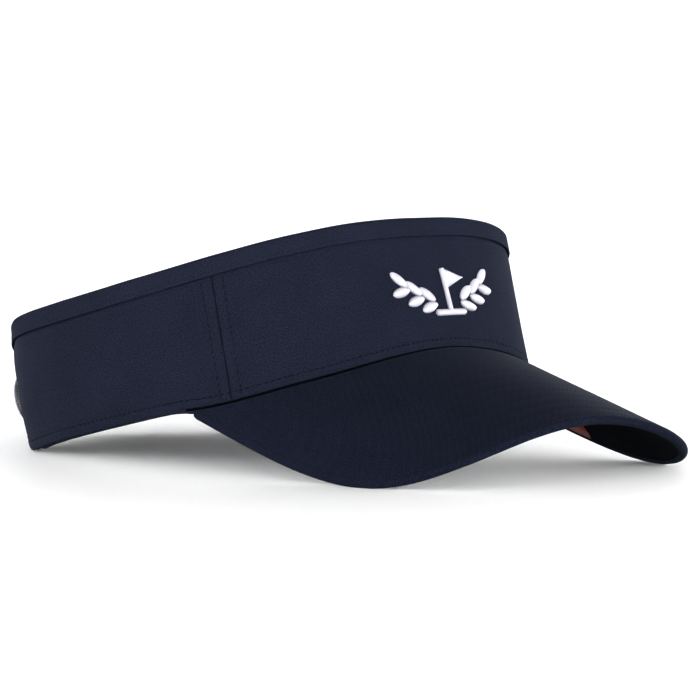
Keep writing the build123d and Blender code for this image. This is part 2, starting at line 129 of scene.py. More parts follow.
def plan(angle):
    """Outer plan point and outward normal at height zero."""
    angle = np.asarray(angle, float)
    bend = np.abs(angle)
    side = np.where(angle >= 0, -1.0, 1.0)
    turn = np.radians(np.minimum(bend, REAR_JOIN_ANGLE))
    across = np.sin(turn) ** (2.0 / SQUARENESS)
    along = -power(np.cos(turn), 2.0 / SQUARENESS)
    reach = np.where(bend <= 90.0, FRONT_REACH, REAR_REACH)
    nx = across ** (SQUARENESS - 1.0) / HALF_WIDTH
    ny = power(along, SQUARENESS - 1.0) / reach
    size = np.hypot(nx, ny)
    rear = np.radians((180.0 - bend) / ARC_SCALE)
    oval = bend <= REAR_JOIN_ANGLE
    x = side * np.where(oval, HALF_WIDTH * across, REAR_RADIUS * np.sin(rear))
    y = np.where(oval, reach * along, REAR_CENTRE_Y + REAR_RADIUS * np.cos(rear))
    return x, y, side * np.where(oval, nx / size, np.sin(rear)), np.where(oval, ny / size, np.cos(rear))


def lean(angle):
    """Inward lean of the wall, as a tangent."""
    bend = np.abs(angle)
    ahead = SIDE_LEAN + (FRONT_LEAN - SIDE_LEAN) * np.cos(np.radians(bend)) ** 2
    behind = SIDE_LEAN * (1.0 - smooth((bend - 90.0) / (REAR_JOIN_ANGLE - 90.0)))
    return np.tan(np.radians(np.where(bend <= 90.0, ahead, behind)))


def wall(angle, height, depth):
    """Points of the wall, in worn millimetres."""
    x, y, nx, ny = plan(angle)
    inward = depth + lean(angle) * height + drawn_in(angle, height)
    return np.stack(np.broadcast_arrays(x - nx * inward, y - ny * inward, height), -1)


def drawn_in(angle, height):
    """The wings belly out a little between the tight top tape and the lower edge."""
    share = (height - bottom(angle)) / (top(angle) - bottom(angle))
    curl = TOP_CURL * smooth((share - 0.6) / 0.4) ** 1.5 + LOWER_CURL * smooth((0.45 - share) / 0.45) ** 1.5
    return curl * rise_between(angle, 96.0, 124.0) * (1.0 - rise_between(angle, 148.0, 162.0))


_share = np.linspace(-1.0, 1.0, 40001)
_angles = 180.0 * np.sign(_share) * np.abs(_share) ** 1.25
_outline = np.stack(plan(_angles)[:2], -1)
_arcs = run_along(_outline)
_arcs -= np.interp(0.0, _angles, _arcs)


def arc_at(angle):
    return np.interp(angle, _angles, _arcs)


def angle_at(arc):
    return np.interp(arc, _arcs, _angles)


# ---- the brim's developed surface: q across the arch, s down the slope
SIDE_SHIFT = BRIM_CROWN_RADIUS - BRIM_SIDE_RADIUS
CROWN_ARC = BRIM_CROWN_RADIUS * BRIM_CROWN_HALF_ANGLE


def brim(q, s, depth=0.0):
    """Point of the brim at a depth below its upper face."""
    reach = np.abs(q)
    crown = reach <= CROWN_ARC
    turn = np.where(crown, reach / BRIM_CROWN_RADIUS,
                    BRIM_CROWN_HALF_ANGLE + (reach - CROWN_ARC) / BRIM_SIDE_RADIUS)
    radius = np.where(crown, BRIM_CROWN_RADIUS, BRIM_SIDE_RADIUS) - depth
    shift = np.where(crown, 0.0, SIDE_SHIFT)
    x = np.sign(q) * (shift * math.sin(BRIM_CROWN_HALF_ANGLE) + radius * np.sin(turn))
    up = radius * np.cos(turn) + shift * math.cos(BRIM_CROWN_HALF_ANGLE) - BRIM_CROWN_RADIUS
    y = -FRONT_REACH - math.cos(BRIM_SLOPE) * s - math.sin(BRIM_SLOPE) * up
    z = BRIM_ROOT_HEIGHT - math.sin(BRIM_SLOPE) * s + math.cos(BRIM_SLOPE) * up
    return np.stack(np.broadcast_arrays(x, y, z), -1)


def develop(x, y):
    """(q, s) and the drop of the upper face over a plan point."""
    reach = np.abs(x)
    crown = reach < BRIM_CROWN_RADIUS * math.sin(BRIM_CROWN_HALF_ANGLE)
    inner = np.arcsin(np.clip(reach / BRIM_CROWN_RADIUS, 0, 1))
    beyond = reach - SIDE_SHIFT * math.sin(BRIM_CROWN_HALF_ANGLE)
    outer = np.arcsin(np.clip(beyond / BRIM_SIDE_RADIUS, 0, 1))
    q = np.where(crown, BRIM_CROWN_RADIUS * inner,
                 CROWN_ARC + BRIM_SIDE_RADIUS * (outer - BRIM_CROWN_HALF_ANGLE))
    drop = np.where(crown, BRIM_CROWN_RADIUS * (1.0 - np.cos(inner)),
                    BRIM_CROWN_RADIUS - SIDE_SHIFT * math.cos(BRIM_CROWN_HALF_ANGLE)
                    - BRIM_SIDE_RADIUS * np.cos(outer))
    s = (-FRONT_REACH - y + math.sin(BRIM_SLOPE) * drop) / math.cos(BRIM_SLOPE)
    return np.sign(x) * q, s, drop


def brim_height(x, y):
    drop = develop(x, y)[2]
    return BRIM_ROOT_HEIGHT + math.tan(BRIM_SLOPE) * (y + FRONT_REACH) - drop / math.cos(BRIM_SLOPE)


# ---- edges of the band
def rise_between(angle, start, end):
    """0 ahead of one bend angle, rising to 1 behind another."""
    return smooth((np.abs(angle) - start) / (end - start))


CORNER_X, CORNER_Y = (float(v) for v in plan(-BRIM_CORNER_ANGLE)[:2])
CORNER_HEIGHT = float(brim_height(CORNER_X, CORNER_Y))


def bottom(angle):
    """Visible lower edge: along the brim, then along the wing."""
    x, y = plan(angle)[:2]
    share = np.minimum((y - CORNER_Y) / (REAR_REACH - CORNER_Y), 1.0)
    wing = (CORNER_HEIGHT + (BOTTOM_REAR - CORNER_HEIGHT) * share
            + BOTTOM_REAR_RISE * rise_between(angle, BOTTOM_RISE_START, BOTTOM_RISE_END))
    return np.where(np.abs(angle) < BRIM_CORNER_ANGLE, brim_height(x, y), wing)


def hidden_bottom(angle):
    """Lower edge of the band's layers, which pass down behind the brim."""
    return bottom(angle) - ROOT_DROP * smooth((BRIM_CORNER_ANGLE + 6.0 - np.abs(angle)) / 14.0)


def top(angle):
    """Upper edge of the band's fabric."""
    second = (TOP_FRONT + TOP_REAR) / 4.0 - TOP_SIDE / 2.0
    first = (TOP_FRONT - TOP_REAR) / 2.0
    turn = np.radians(angle)
    wave = TOP_SIDE + second + first * np.cos(turn) + second * np.cos(2.0 * turn)
    return wave - TOP_REAR_DIP * rise_between(angle, REAR_DIP_START, REAR_DIP_END)


# ---- placing
SLIDE = next(j for j in frame["joints"] if j["name"] == "size_adjust")
TILT = math.atan2(SLIDE["axis"][1], SLIDE["axis"][2])
TURN = np.array([[1, 0, 0], [0, math.cos(TILT), math.sin(TILT)], [0, -math.sin(TILT), math.cos(TILT)]])
HUB = np.array([0.0, REAR_CENTRE_Y, (STRAP_LOW + STRAP_HIGH) / 2.0])
SHIFT = 1000.0 * np.array(SLIDE["pos_m"]) - TURN @ HUB


def place(points):
    """Worn millimetres to metres in the shared frame."""
    return (np.asarray(points, float) @ TURN.T + SHIFT) / 1000.0


# ---- mesh making
def add_object(name, data):
    """A new object in the scene."""
    made = bpy.data.objects.new(name, data)
    bpy.context.scene.collection.objects.link(made)
    return made


def make(name, points, faces, uv, material, body="visor", slot=None, replaces=()):
    """A piece from worn millimetres, with its cloth coordinates in millimetres as UVs."""
    mesh = bpy.data.meshes.new(name)
    mesh.from_pydata(place(points).tolist(), [], [list(f) for f in faces])
    layer = mesh.uv_layers.new(name="Cloth")
    index = np.zeros(len(mesh.loops), int)
    mesh.loops.foreach_get("vertex_index", index)
    layer.data.foreach_set("uv", np.asarray(uv, float)[index].ravel())
    work = bmesh.new()
    work.from_mesh(mesh)
    bmesh.ops.recalc_face_normals(work, faces=work.faces)
    work.to_mesh(mesh)
    work.free()
    mesh.polygons.foreach_set("use_smooth", np.ones(len(mesh.polygons), bool))
    mesh.materials.append(material)
    piece = add_object(name, mesh)
    if body:
        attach(piece, body)
    if replaces:
        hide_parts(*replaces)
    return piece


def two_faced(outer, inner, uv):
    """Closed skin of two grids that share their border: points, faces and uv."""
    rows, cols = outer.shape[:2]
    first = np.arange(rows * cols).reshape(rows, cols)
    second = first.copy()
    count = (rows - 2) * (cols - 2)
    second[1:-1, 1:-1] = rows * cols + np.arange(count).reshape(rows - 2, cols - 2)
    border = np.ones((rows, cols), bool)
    border[1:-1, 1:-1] = False
    face = outer.copy()
    face[border] = (outer[border] + inner[border]) / 2.0
    points = np.concatenate([face.reshape(-1, 3), inner[1:-1, 1:-1].reshape(-1, 3)])
    marks = np.concatenate([uv.reshape(-1, 2), uv[1:-1, 1:-1].reshape(-1, 2)])

    def quads(grid):
        return np.stack([grid[:-1, :-1], grid[1:, :-1], grid[1:, 1:], grid[:-1, 1:]], -1).reshape(-1, 4)

    return points, np.concatenate([quads(first), quads(second)[:, ::-1]]), marks


def spread(length, step, roll):
    """Distances from 0 to length: even steps, closer at both rolled ends."""
    ends = roll * np.array([0.0, 0.04, 0.16, 0.4, 0.75])
    count = max(3, int(round((length - 2.3 * roll) / step)) + 1)
    return np.concatenate([ends, np.linspace(1.15 * roll, length - 1.15 * roll, count), length - ends[::-1]])


def rolled(distance, roll):
    """Share of the full thickness at a distance from a rolled edge."""
    return np.sqrt(1.0 - (1.0 - np.clip(distance / roll, 0.0, 1.0)) ** 2)


def ripple(a, b, seed):
    """Gentle uneven waves, from -1 to 1, over lengths of about 1."""
    total = 0.0
    for k in range(4):
        turn = seed * 1.7 + k * 2.3
        total = total + np.sin((a * math.cos(turn) + b * math.sin(turn)) * (0.8 + 0.37 * k) + seed * 3.1 + k)
    return total / 4.0


def groove(distance, width):
    return np.exp(-(distance / width) ** 2)


def band_sheet(name, span, low, high, depths, material, roll=0.5, step=1.0, outside=None, inside=None,
               **facts):
    """Closed layer of the wall between two arcs, two edge lines and two depths.

    outside(arc, height, low, high) and inside(...) give what its faces stand proud by.
    """
    first, last = span
    arcs = first + spread(last - first, step, roll)
    angles = angle_at(arcs)
    lower, upper = low(angles), high(angles)
    tall = float(np.max(upper - lower))
    share = spread(tall, step, roll) / tall
    arc, across = np.meshgrid(arcs, share, indexing="ij")
    angle = angles[:, None] + 0.0 * across
    height = lower[:, None] + (upper - lower)[:, None] * across
    from_edge = np.minimum(across, 1.0 - across) * (upper - lower)[:, None]
    from_end = np.minimum(arc - first, last - arc)
    full = rolled(from_edge, roll) * rolled(from_end, roll)
    middle, half = (depths[0] + depths[1]) / 2.0, (depths[1] - depths[0]) / 2.0
    args = (arc, height, lower[:, None], upper[:, None])
    proud = outside(*args) * full if outside else 0.0
    swell = inside(*args) * full if inside else 0.0
    outer = wall(angle, height, middle - half * full - proud)
    inner = wall(angle, height, middle + half * full + swell)
    piece = make(name, *two_faced(outer, inner, np.stack([arc, height], -1)), material, **facts)
    flat = (float(last - first), tall)
    area = float(np.sum(np.diff(arcs) * (upper - lower)[1:]))
    return piece, flat, area


def level(height):
    """Edge line at one height."""
    return lambda angle: height + 0.0 * angle


def below_top(drop):
    """Edge line at a distance under the top edge."""
    return lambda angle: top(angle) - drop


def above_bottom(rise):
    """Edge line at a distance over the lower edge."""
    return lambda angle: bottom(angle) + rise


def waves(size, arc_length, height_length, seed):
    """Relief of gentle waves for a face of band_sheet."""
    return lambda arc, height, low, high: size * ripple(arc / arc_length, height / height_length, seed)


def declare(made, held="stretched", **facts):
    """Passes the piece on; the size it was cut to, held and the other facts given are not used."""
    piece, flat, area = made
    return piece


# ---- threads
def unit(vectors):
    return vectors / np.maximum(np.linalg.norm(vectors, axis=-1, keepdims=True), 1e-9)


def tubes(centres, ups, radii, sides=6):
    """Closed tubes along (tube, ring, 3) centres; radii are (ring,)."""
    count, rings = centres.shape[:2]
    ahead = unit(np.gradient(centres, axis=1))
    across = unit(np.cross(ahead, ups))
    above = np.cross(across, ahead)
    turn = 2.0 * math.pi * np.arange(sides) / sides
    ring = (np.cos(turn)[:, None] * across[:, :, None, :] + np.sin(turn)[:, None] * above[:, :, None, :])
    points = centres[:, :, None, :] + ring * np.asarray(radii)[None, :, None, None]
    grid = np.arange(count * rings * sides).reshape(count, rings, sides)
    around = np.roll(grid, -1, axis=2)
    walls = np.stack([grid[:, :-1], around[:, :-1], around[:, 1:], grid[:, 1:]], -1).reshape(-1, 4)
    caps = np.concatenate([grid[:, 0, ::-1], grid[:, -1]])
    return points.reshape(-1, 3), walls.tolist() + caps.tolist()


def make_tubes(name, mesh, material, **facts):
    """A piece from the points and faces that tubes() gives."""
    points, faces = mesh
    return make(name, points, faces, points[:, [0, 2]], material, **facts)


def sew(name, rows, material, body="visor", slot="twill", pitch=STITCH_PITCH, length=0.62,
        thread=THREAD, dive=0.22):
    """Running stitches: each row is (points, outward normals) along its line, close together."""
    centres, ups = [], []
    for line, normals in rows:
        run = run_along(line)
        count = int(run[-1] // pitch)
        if count < 1:
            continue
        starts = (run[-1] - count * pitch) / 2.0 + pitch * (np.arange(count) + (1.0 - length) / 2.0)
        at = starts[:, None] + pitch * length * np.linspace(0.0, 1.0, 5)
        spots, up = sampled(line, at, run), unit(sampled(normals, at, run))
        sink = dive * np.array([1.0, 0.25, 0.0, 0.25, 1.0])
        centres.append(spots - up * sink[:, None])
        ups.append(up)
    radii = thread * np.array([0.6, 1, 1, 1, 0.6])
    return make_tubes(name, tubes(np.concatenate(centres), np.concatenate(ups), radii), material,
                      body=body, slot=slot)


def wall_row(arcs, heights, depth):
    """A stitch line on the wall, with its normals; up to 1 mm deep it is on the outer face."""
    angles = angle_at(arcs)
    _, _, nx, ny = plan(angles)
    sign = 1.0 if depth <= 1.0 else -1.0
    normals = sign * np.stack([nx, ny, lean(angles)], -1)
    return wall(angles, heights, depth), unit(normals)


# ---- materials
def node(tree, kind, links=(), **values):
    """Adds a shader node; links holds, by socket, another node's output or a constant."""
    made = tree.nodes.new("ShaderNode" + kind)
    for key, value in values.items():
        socket = made.inputs.get(key.replace("_", " "))
        if socket is not None:
            socket.default_value = value
        else:
            setattr(made, key, value)
    for target, source in dict(links).items():
        if isinstance(source, bpy.types.NodeSocket):
            tree.links.new(source, made.inputs[target])
        else:
            made.inputs[target].default_value = source
    return made


def set_inputs(target, values):
    for socket, value in values.items():
        target.inputs[socket].default_value = value


def surface(name, roughness, sheen=0.0, specular=0.3, sheen_tint=(1, 1, 1, 1)):
    """A material with its shader; constants sit on the shader itself."""
    material = bpy.data.materials.new(name)
    material.use_nodes = True
    tree = material.node_tree
    shader = tree.nodes["Principled BSDF"]
    set_inputs(shader, {"Roughness": roughness, "Sheen Weight": sheen, "Sheen Roughness": 0.45,
                        "Sheen Tint": sheen_tint, "Specular IOR Level": specular})
    return material, tree, shader


def dress(tree, shader, colour, height, strength, distance):
    """Gives the shader its colour and a bump."""
    tree.links.new(colour, shader.inputs["Base Color"])
    bump = node(tree, "Bump", {"Height": height}, Strength=strength, Distance=distance)
    tree.links.new(bump.outputs["Normal"], shader.inputs["Normal"])


def coordinates(tree, on_uv):
    """Cloth millimetres: the UV map of a made piece, or the object's own place."""
    if on_uv:
        return tree.nodes.new("ShaderNodeUVMap").outputs["UV"]
    place_node = tree.nodes.new("ShaderNodeTexCoord")
    scaled = node(tree, "VectorMath", {0: place_node.outputs["Object"], "Scale": 1000.0}, operation="SCALE")
    return scaled.outputs["Vector"]


def varied(tree, colour, factor, spread_by, reach=0.25):
    """The colour, darker and lighter by spread_by as factor runs over its middle part."""
    ramp = tree.nodes.new("ShaderNodeValToRGB")
    ramp.color_ramp.elements[0].color = [c * (1.0 - spread_by) for c in colour] + [1.0]
    ramp.color_ramp.elements[1].color = [c * (1.0 + spread_by) for c in colour] + [1.0]
    ramp.color_ramp.elements[0].position = 0.5 - reach
    ramp.color_ramp.elements[1].position = 0.5 + reach
    tree.links.new(factor, ramp.inputs["Fac"])
    return ramp.outputs["Color"]


TWILL_SHARE = 0.35


def cloth(name, colour, heather=0.62, weave=1.0, relief=0.22, sheen=0.02, roughness=0.95, on_uv=True,
          direction="DIAGONAL", specular=0.03):
    """Woven cloth: twill lines, slubby heather and a slow mottle."""
    material, tree, shader = surface(name, roughness, sheen, specular, (0.75, 0.82, 1.0, 1.0))
    where = coordinates(tree, on_uv)
    lines = node(tree, "TexWave", {"Vector": where}, wave_type="BANDS", bands_direction=direction,
                 Scale=1.05 * weave, Distortion=1.2, Detail=2.0, Detail_Scale=1.5)
    slub = node(tree, "TexNoise", {"Vector": where}, Scale=1.75 * weave, Detail=3.0, Roughness=0.7)
    mottle = node(tree, "TexNoise", {"Vector": where}, Scale=0.045, Detail=3.0, Roughness=0.55)
    mix = node(tree, "Math", {0: lines.outputs["Fac"], 1: TWILL_SHARE}, operation="MULTIPLY")
    total = node(tree, "Math", {0: slub.outputs["Fac"], 1: mix.outputs[0]}, operation="ADD")
    shifted = node(tree, "Math", {0: total.outputs[0], 1: TWILL_SHARE / 2.0}, operation="SUBTRACT")
    fine = varied(tree, colour, shifted.outputs[0], heather, 0.16)
    slow = varied(tree, (1.0, 1.0, 1.0), mottle.outputs["Fac"], 0.09)
    blended = node(tree, "Mix", {0: 1.0, 6: fine, 7: slow}, data_type="RGBA", blend_type="MULTIPLY")
    dress(tree, shader, blended.outputs[2], total.outputs[0], relief, 0.0003)
    return material


def grained(name, colour, scale, amount, roughness, relief=0.2, sheen=0.0, specular=0.3, on_uv=False):
    """Plain material with a fine grain: foam, board, plastic or paper."""
    material, tree, shader = surface(name, roughness, sheen, specular)
    where = coordinates(tree, on_uv)
    grain = node(tree, "TexNoise", {"Vector": where}, Scale=scale, Detail=4.0, Roughness=0.6)
    shade = varied(tree, colour, grain.outputs["Fac"], amount)
    dress(tree, shader, shade, grain.outputs["Fac"], relief, 0.0002)
    return material


PANEL_CLOTH = cloth("panel_twill", (0.0134, 0.0160, 0.0268))
# Brim top twill: the panel navy darkened to paint the shade of its upward-facing top.
BRIM_SHADED_CLOTH = cloth("brim_twill", (0.0107, 0.0133, 0.0236), heather=0.85, specular=0.027)
TAPE_CLOTH = cloth("binding_twill", (0.0155, 0.0184, 0.0296), weave=1.1, sheen=0.0, specular=0.02)
# Underside twill: the same navy as the top, darkened to paint the deep shade under the brim.
UNDER_SHADED_CLOTH = cloth("under_twill", (0.0068, 0.0080, 0.0108), sheen=0.0, specular=0.02)
LINING_CLOTH = cloth("lining_weave", (0.014, 0.016, 0.027), weave=1.6, direction="X", heather=0.25)
SWEAT_CLOTH = cloth("sweatband_knit", (0.012, 0.014, 0.023), weave=0.8, direction="Y", relief=0.6, sheen=0.06)
THREAD_NAVY = grained("thread_navy", (0.0036, 0.0042, 0.0085), 6.0, 0.3, 0.7, specular=0.1, on_uv=True)
# Underside thread, darkened to paint the shade under the brim.
THREAD_UNDER_SHADED = grained("thread_under_painted_shade", (0.0036, 0.0042, 0.0062), 6.0, 0.3, 0.8, specular=0.03, on_uv=True)
THREAD_BRIM = grained("thread_brim", (0.0066, 0.0082, 0.0152), 6.0, 0.3, 0.7, specular=0.1, on_uv=True)
# Near-black colour of the cord in the brim-to-band crease: painted shade of that crease.
CREASE_SHADE_DARK = grained("crease_painted_shade", (0.0016, 0.0018, 0.0028), 6.0, 0.3, 0.9, specular=0.02, on_uv=True)
THREAD_WHITE = grained("thread_white", (0.37, 0.365, 0.40), 3.0, 0.08, 0.5, specular=0.2, on_uv=True)
LABEL_CLOTH = cloth("label_satin", (0.42, 0.42, 0.41), heather=0.06, weave=2.0, direction="X")
HOOK_PLASTIC = grained("hook_plastic", (0.85, 0.85, 0.88), 2.0, 0.1, 0.5, specular=0.2)
HOOK_TAPE = cloth("hook_tape", (0.40, 0.40, 0.43), heather=0.12, weave=1.6, direction="X")
for material in (HOOK_PLASTIC, HOOK_TAPE):
    set_inputs(material.node_tree.nodes["Principled BSDF"],
               {"Subsurface Weight": 1.0, "Subsurface Radius": (1.0, 1.0, 1.0), "Subsurface Scale": 0.0015})
LOOP_PILE = grained("loop_pile", (0.013, 0.015, 0.026), 2.5, 0.5, 0.9, relief=0.8, sheen=0.08, specular=0.1,
                    on_uv=True)
# Red and pale halves of the sticker; the pale half is its white print, darkened as painted shade under the
# brim.
STICKER_RED, STICKER_SHADED_WHITE = (0.15, 0.014, 0.008, 1.0), (0.17, 0.075, 0.070, 1.0)
STICKER_PAPER, sticker_tree, sticker_shader = surface("sticker_paper", 0.5, specular=0.12)
sticker_place = node(sticker_tree, "SeparateXYZ", {0: coordinates(sticker_tree, False)})
sticker_ramp = node(sticker_tree, "MapRange", {"Value": sticker_place.outputs["X"]},
                    From_Min=79.4, From_Max=80.4)
sticker_mix = node(sticker_tree, "Mix", {0: sticker_ramp.outputs["Result"], 6: STICKER_RED, 7: STICKER_SHADED_WHITE},
                   data_type="RGBA")
sticker_tree.links.new(sticker_mix.outputs[2], sticker_shader.inputs["Base Color"])
BUCKRAM = cloth("buckram", (0.008, 0.009, 0.014), heather=0.1, weave=0.6, direction="X", on_uv=False)
FOAM = grained("foam", (0.55, 0.55, 0.50), 3.0, 0.2, 0.9, relief=0.6)
BOARD = grained("board", (0.62, 0.62, 0.60), 0.6, 0.05, 0.5, relief=0.1)

# ---- outer panels
WING_ANGLE = 180.0 - WING_END * ARC_SCALE
SEAM_ARC = float(arc_at(PANEL_SEAM_ANGLE))
WING_ARC = float(arc_at(WING_ANGLE))


def panel_relief(arc, height, low, high):
    """Hem, seam and tape edges show through the face, with small puckers at the stitches."""
    above = height - bottom(angle_at(arc))
    from_seam = np.abs(np.abs(arc) - SEAM_ARC)
    hem = -0.24 * groove(above - HEM_ROW, 1.1) + 0.12 * groove(above - 2.0, 1.2)
    seam = -0.12 * groove(from_seam - SEAM_ROW, 0.9) + 0.10 * groove(from_seam - 2.0, 1.4)
    pucker = 0.05 * np.sin(arc * 1.31 + np.sin(arc * 0.27)) * groove(above - HEM_ROW, 4.0)
    side_pucker = 0.04 * np.sin(height * 1.27) * groove(from_seam - SEAM_ROW, 3.0)
    slack = 0.22 * ripple(arc / 19.0, height / 17.0, 1.0) * smooth((above - 6.0) / 12.0)
    below_tape = top(angle_at(arc)) - BINDING_WIDTH - height
    tucked = 0.30 * groove(from_seam, 0.7) + 0.45 * groove(below_tape + 0.2, 1.1)
    at_brim = 0.55 * groove(above, 0.9) * (np.abs(angle_at(arc)) < BRIM_CORNER_ANGLE)
    return hem + seam + pucker + side_pucker + slack - tucked - at_brim


SEAM_SPLIT = 0.12
FRONT_SPAN = (-SEAM_ARC + SEAM_SPLIT, SEAM_ARC - SEAM_SPLIT)
PANEL_TOP, LINING_TOP = below_top(1.0), below_top(1.4)
PANEL_DEPTHS, SIDE_LINING_DEPTHS, FRONT_LINING_DEPTHS = (0.0, 0.9), (1.1, STACK), (1.85, STACK)
SEAM_TAPE_LOW, SEAM_TAPE_HIGH, SEAM_TAPE_DEPTHS = 29.6, 45.2, (2.75, 3.3)
SEAM_TAPE_HALF = float(arc_at(PANEL_SEAM_ANGLE + 4.0)) - SEAM_ARC
SIDES = (("right", 1.0), ("left", -1.0))
front = band_sheet("front_panel_cloth", FRONT_SPAN, hidden_bottom, PANEL_TOP, PANEL_DEPTHS, PANEL_CLOTH,
                   roll=0.8, outside=panel_relief, slot="twill", replaces=("front_panel",))
declare(front, rests_on=["front_interlining"])
for side_name, side in SIDES:
    ends = sorted((side * (SEAM_ARC + SEAM_SPLIT), side * WING_ARC))
    made = band_sheet("side_panel_cloth_" + side_name, ends, hidden_bottom, PANEL_TOP, PANEL_DEPTHS,
                      PANEL_CLOTH, roll=0.8, outside=panel_relief, slot="twill",
                      replaces=("side_panel_" + side_name,))
    declare(made, rests_on=["side_lining_cloth_" + side_name])
    made = band_sheet("side_lining_cloth_" + side_name, ends, hidden_bottom, LINING_TOP, SIDE_LINING_DEPTHS,
                      LINING_CLOTH, step=1.6, slot="lining", replaces=("side_lining_" + side_name,),
                      inside=waves(0.12, 14.0, 9.0, 4.0))
    declare(made)
    tape_span = (side * SEAM_ARC - SEAM_TAPE_HALF, side * SEAM_ARC + SEAM_TAPE_HALF)
    made = band_sheet("seam_tape_cloth_" + side_name, tape_span, level(SEAM_TAPE_LOW), level(SEAM_TAPE_HIGH),
                      SEAM_TAPE_DEPTHS, TAPE_CLOTH, roll=0.25, slot="tape",
                      replaces=("seam_tape_" + side_name,))
    declare(made, rests_on=["side_lining_cloth_" + side_name])

made = band_sheet("front_lining_cloth", FRONT_SPAN, hidden_bottom, LINING_TOP, FRONT_LINING_DEPTHS,
                  LINING_CLOTH, step=1.6, roll=0.4, slot="lining", replaces=("front_lining",),
                  inside=waves(0.12, 14.0, 9.0, 5.0))
declare(made)

# ---- bindings
FOLD_HALF = STACK / 2.0 + 0.4
FOLD_MIDDLE = STACK / 2.0


def fold_path(leg, rise, step=0.7, fold_half=FOLD_HALF):
    """Folded tape in section: (depth, distance above the edge, run) and its outward normals."""
    down = spread(leg - rise, step, 0.3)
    turn = np.linspace(0.0, math.pi, 15)[1:-1]
    depth = np.concatenate([np.full(len(down), -1.0), -np.cos(turn), np.full(len(down), 1.0)]) * fold_half
    lift = np.concatenate([down - leg, rise * np.sin(turn) - rise + 0.3 * np.sin(turn), (down - leg)[::-1]])
    out = np.concatenate([np.full(len(down), -1.0), -np.cos(turn), np.full(len(down), 1.0)])
    up = np.concatenate([np.zeros(len(down)), np.sin(turn), np.zeros(len(down))])
    run = np.concatenate([[0.0], np.cumsum(np.hypot(np.diff(depth), np.diff(lift)))])
    return FOLD_MIDDLE + depth, lift, out, up, run


def binding_half(run, total):
    """Half thickness of the tape: rolled edges, and a turned-in ply along each."""
    edge = np.minimum(run, total - run)
    ply = 0.10 * smooth((3.2 - edge) / 0.8)
    stitch = 0.13 * groove(edge - BINDING_ROW, 0.5)
    return rolled(edge, 0.35) * (0.30 + ply - stitch)


depth, lift, out, up, run = fold_path(BINDING_WIDTH, 0.85)
arcs = -WING_ARC + spread(2.0 * WING_ARC, 1.0, 0.5)
angle = angle_at(arcs)[:, None]
full = rolled(np.minimum(arcs + WING_ARC, WING_ARC - arcs), 0.5)[:, None]
half = binding_half(run, run[-1])[None, :] * full
pucker = 0.05 * np.sin(arcs * 1.25 + 1.7 * np.sin(arcs * 0.11))
wave = pucker[:, None] * groove(run - BINDING_ROW, 1.5)[None, :]
edge_wave = 0.12 * ripple(arcs / 9.0, 0.0, 7.0)[:, None]
outer = wall(angle, top(angle) + lift + up * half + edge_wave, depth + out * (half + wave))
inner = wall(angle, top(angle) + lift - up * half + edge_wave, depth - out * half)
uv = np.stack(np.broadcast_arrays(arcs[:, None], run[None, :]), -1)
binding = make("top_binding_tape", *two_faced(outer, inner, uv), TAPE_CLOTH, slot="tape",
               replaces=("top_binding",))
declare((binding, (2.0 * WING_ARC, float(run[-1])), 2.0 * WING_ARC * float(run[-1])), held="folded",
        rests_on=["front_panel_cloth"])

# The tape on the wing ends is thin, so that the strap's root slides clear of it.
END_FOLD_HALF, END_THINNING, END_OVERHANG = STACK / 2.0 + 0.22, 0.65, 0.1
END_LOW_GAP, END_HIGH_GAP = 0.2, 0.4
depth, lift, out, up, run = fold_path(END_BINDING, 0.5, 0.5, END_FOLD_HALF)
for side_name, side in SIDES:
    angles_here = angle_at(side * (WING_ARC + END_OVERHANG + lift))
    low_here = bottom(WING_ANGLE) - END_LOW_GAP
    high_here = top(WING_ANGLE) - BINDING_WIDTH + END_HIGH_GAP
    rise = spread(float(high_here - low_here), 0.8, 0.5)
    tall = rise[-1]
    share = (rise / tall)[:, None]
    span = top(angles_here) - BINDING_WIDTH + END_HIGH_GAP - bottom(angles_here) + END_LOW_GAP
    height = bottom(angles_here) - END_LOW_GAP + share * span
    full = rolled(np.minimum(rise, tall - rise), 0.5)[:, None]
    half = END_THINNING * binding_half(run, run[-1])[None, :] * full
    outer = wall(angle_at(side * (WING_ARC + END_OVERHANG + lift + up * half)), height, depth + out * half)
    inner = wall(angle_at(side * (WING_ARC + END_OVERHANG + lift - up * half)), height, depth - out * half)
    uv = np.stack(np.broadcast_arrays(rise[:, None], run[None, :]), -1)
    made = make("wing_end_tape_" + side_name, *two_faced(outer, inner, uv), TAPE_CLOTH, slot="tape",
                replaces=("wing_end_binding_" + side_name,))
    declare((made, (float(run[-1]), float(tall)), float(run[-1] * tall)), held="folded",
            rests_on=["side_panel_cloth_" + side_name])

# ---- sweatband and labels
SWEAT_ARC = WING_ARC - END_BINDING - 0.5


def sweat_top(angle):
    return bottom(angle) + SWEATBAND_HEIGHT


def sweat_swell(arc, height, low, high):
    """Padded face towards the head: full in the middle, drawn in at its two stitch rows."""
    share = (height - low) / (high - low)
    crown = 0.35 * np.sin(math.pi * share)
    rows = -0.45 * groove(height - low - 3.4, 0.8) - 0.35 * groove(high - height - 2.6, 0.8)
    creases = 0.12 * ripple(arc / 5.0, height / 30.0, 9.0) * np.sin(math.pi * share)
    return crown + rows + creases


made = band_sheet("sweatband_pad", (-SWEAT_ARC, SWEAT_ARC), hidden_bottom, sweat_top, (3.4, 6.2), SWEAT_CLOTH,
                  roll=1.2, step=1.3, inside=sweat_swell, slot="sweatband", replaces=("sweatband_cover",))

LABEL_DEPTHS = (6.45, 6.85)
for label_name, span in LABEL_SPANS:
    made = band_sheet(label_name + "_satin", tuple(float(arc_at(a)) for a in span), above_bottom(LABEL_LOW),
                      above_bottom(LABEL_HIGH), LABEL_DEPTHS, LABEL_CLOTH, roll=0.25,
                      inside=waves(0.10, 4.0, 6.0, 3.0), slot="label", replaces=(label_name,))
    declare(made, held="laid", rests_on=["sweatband_pad"])

# ---- brim
RIM_SAMPLES = 700


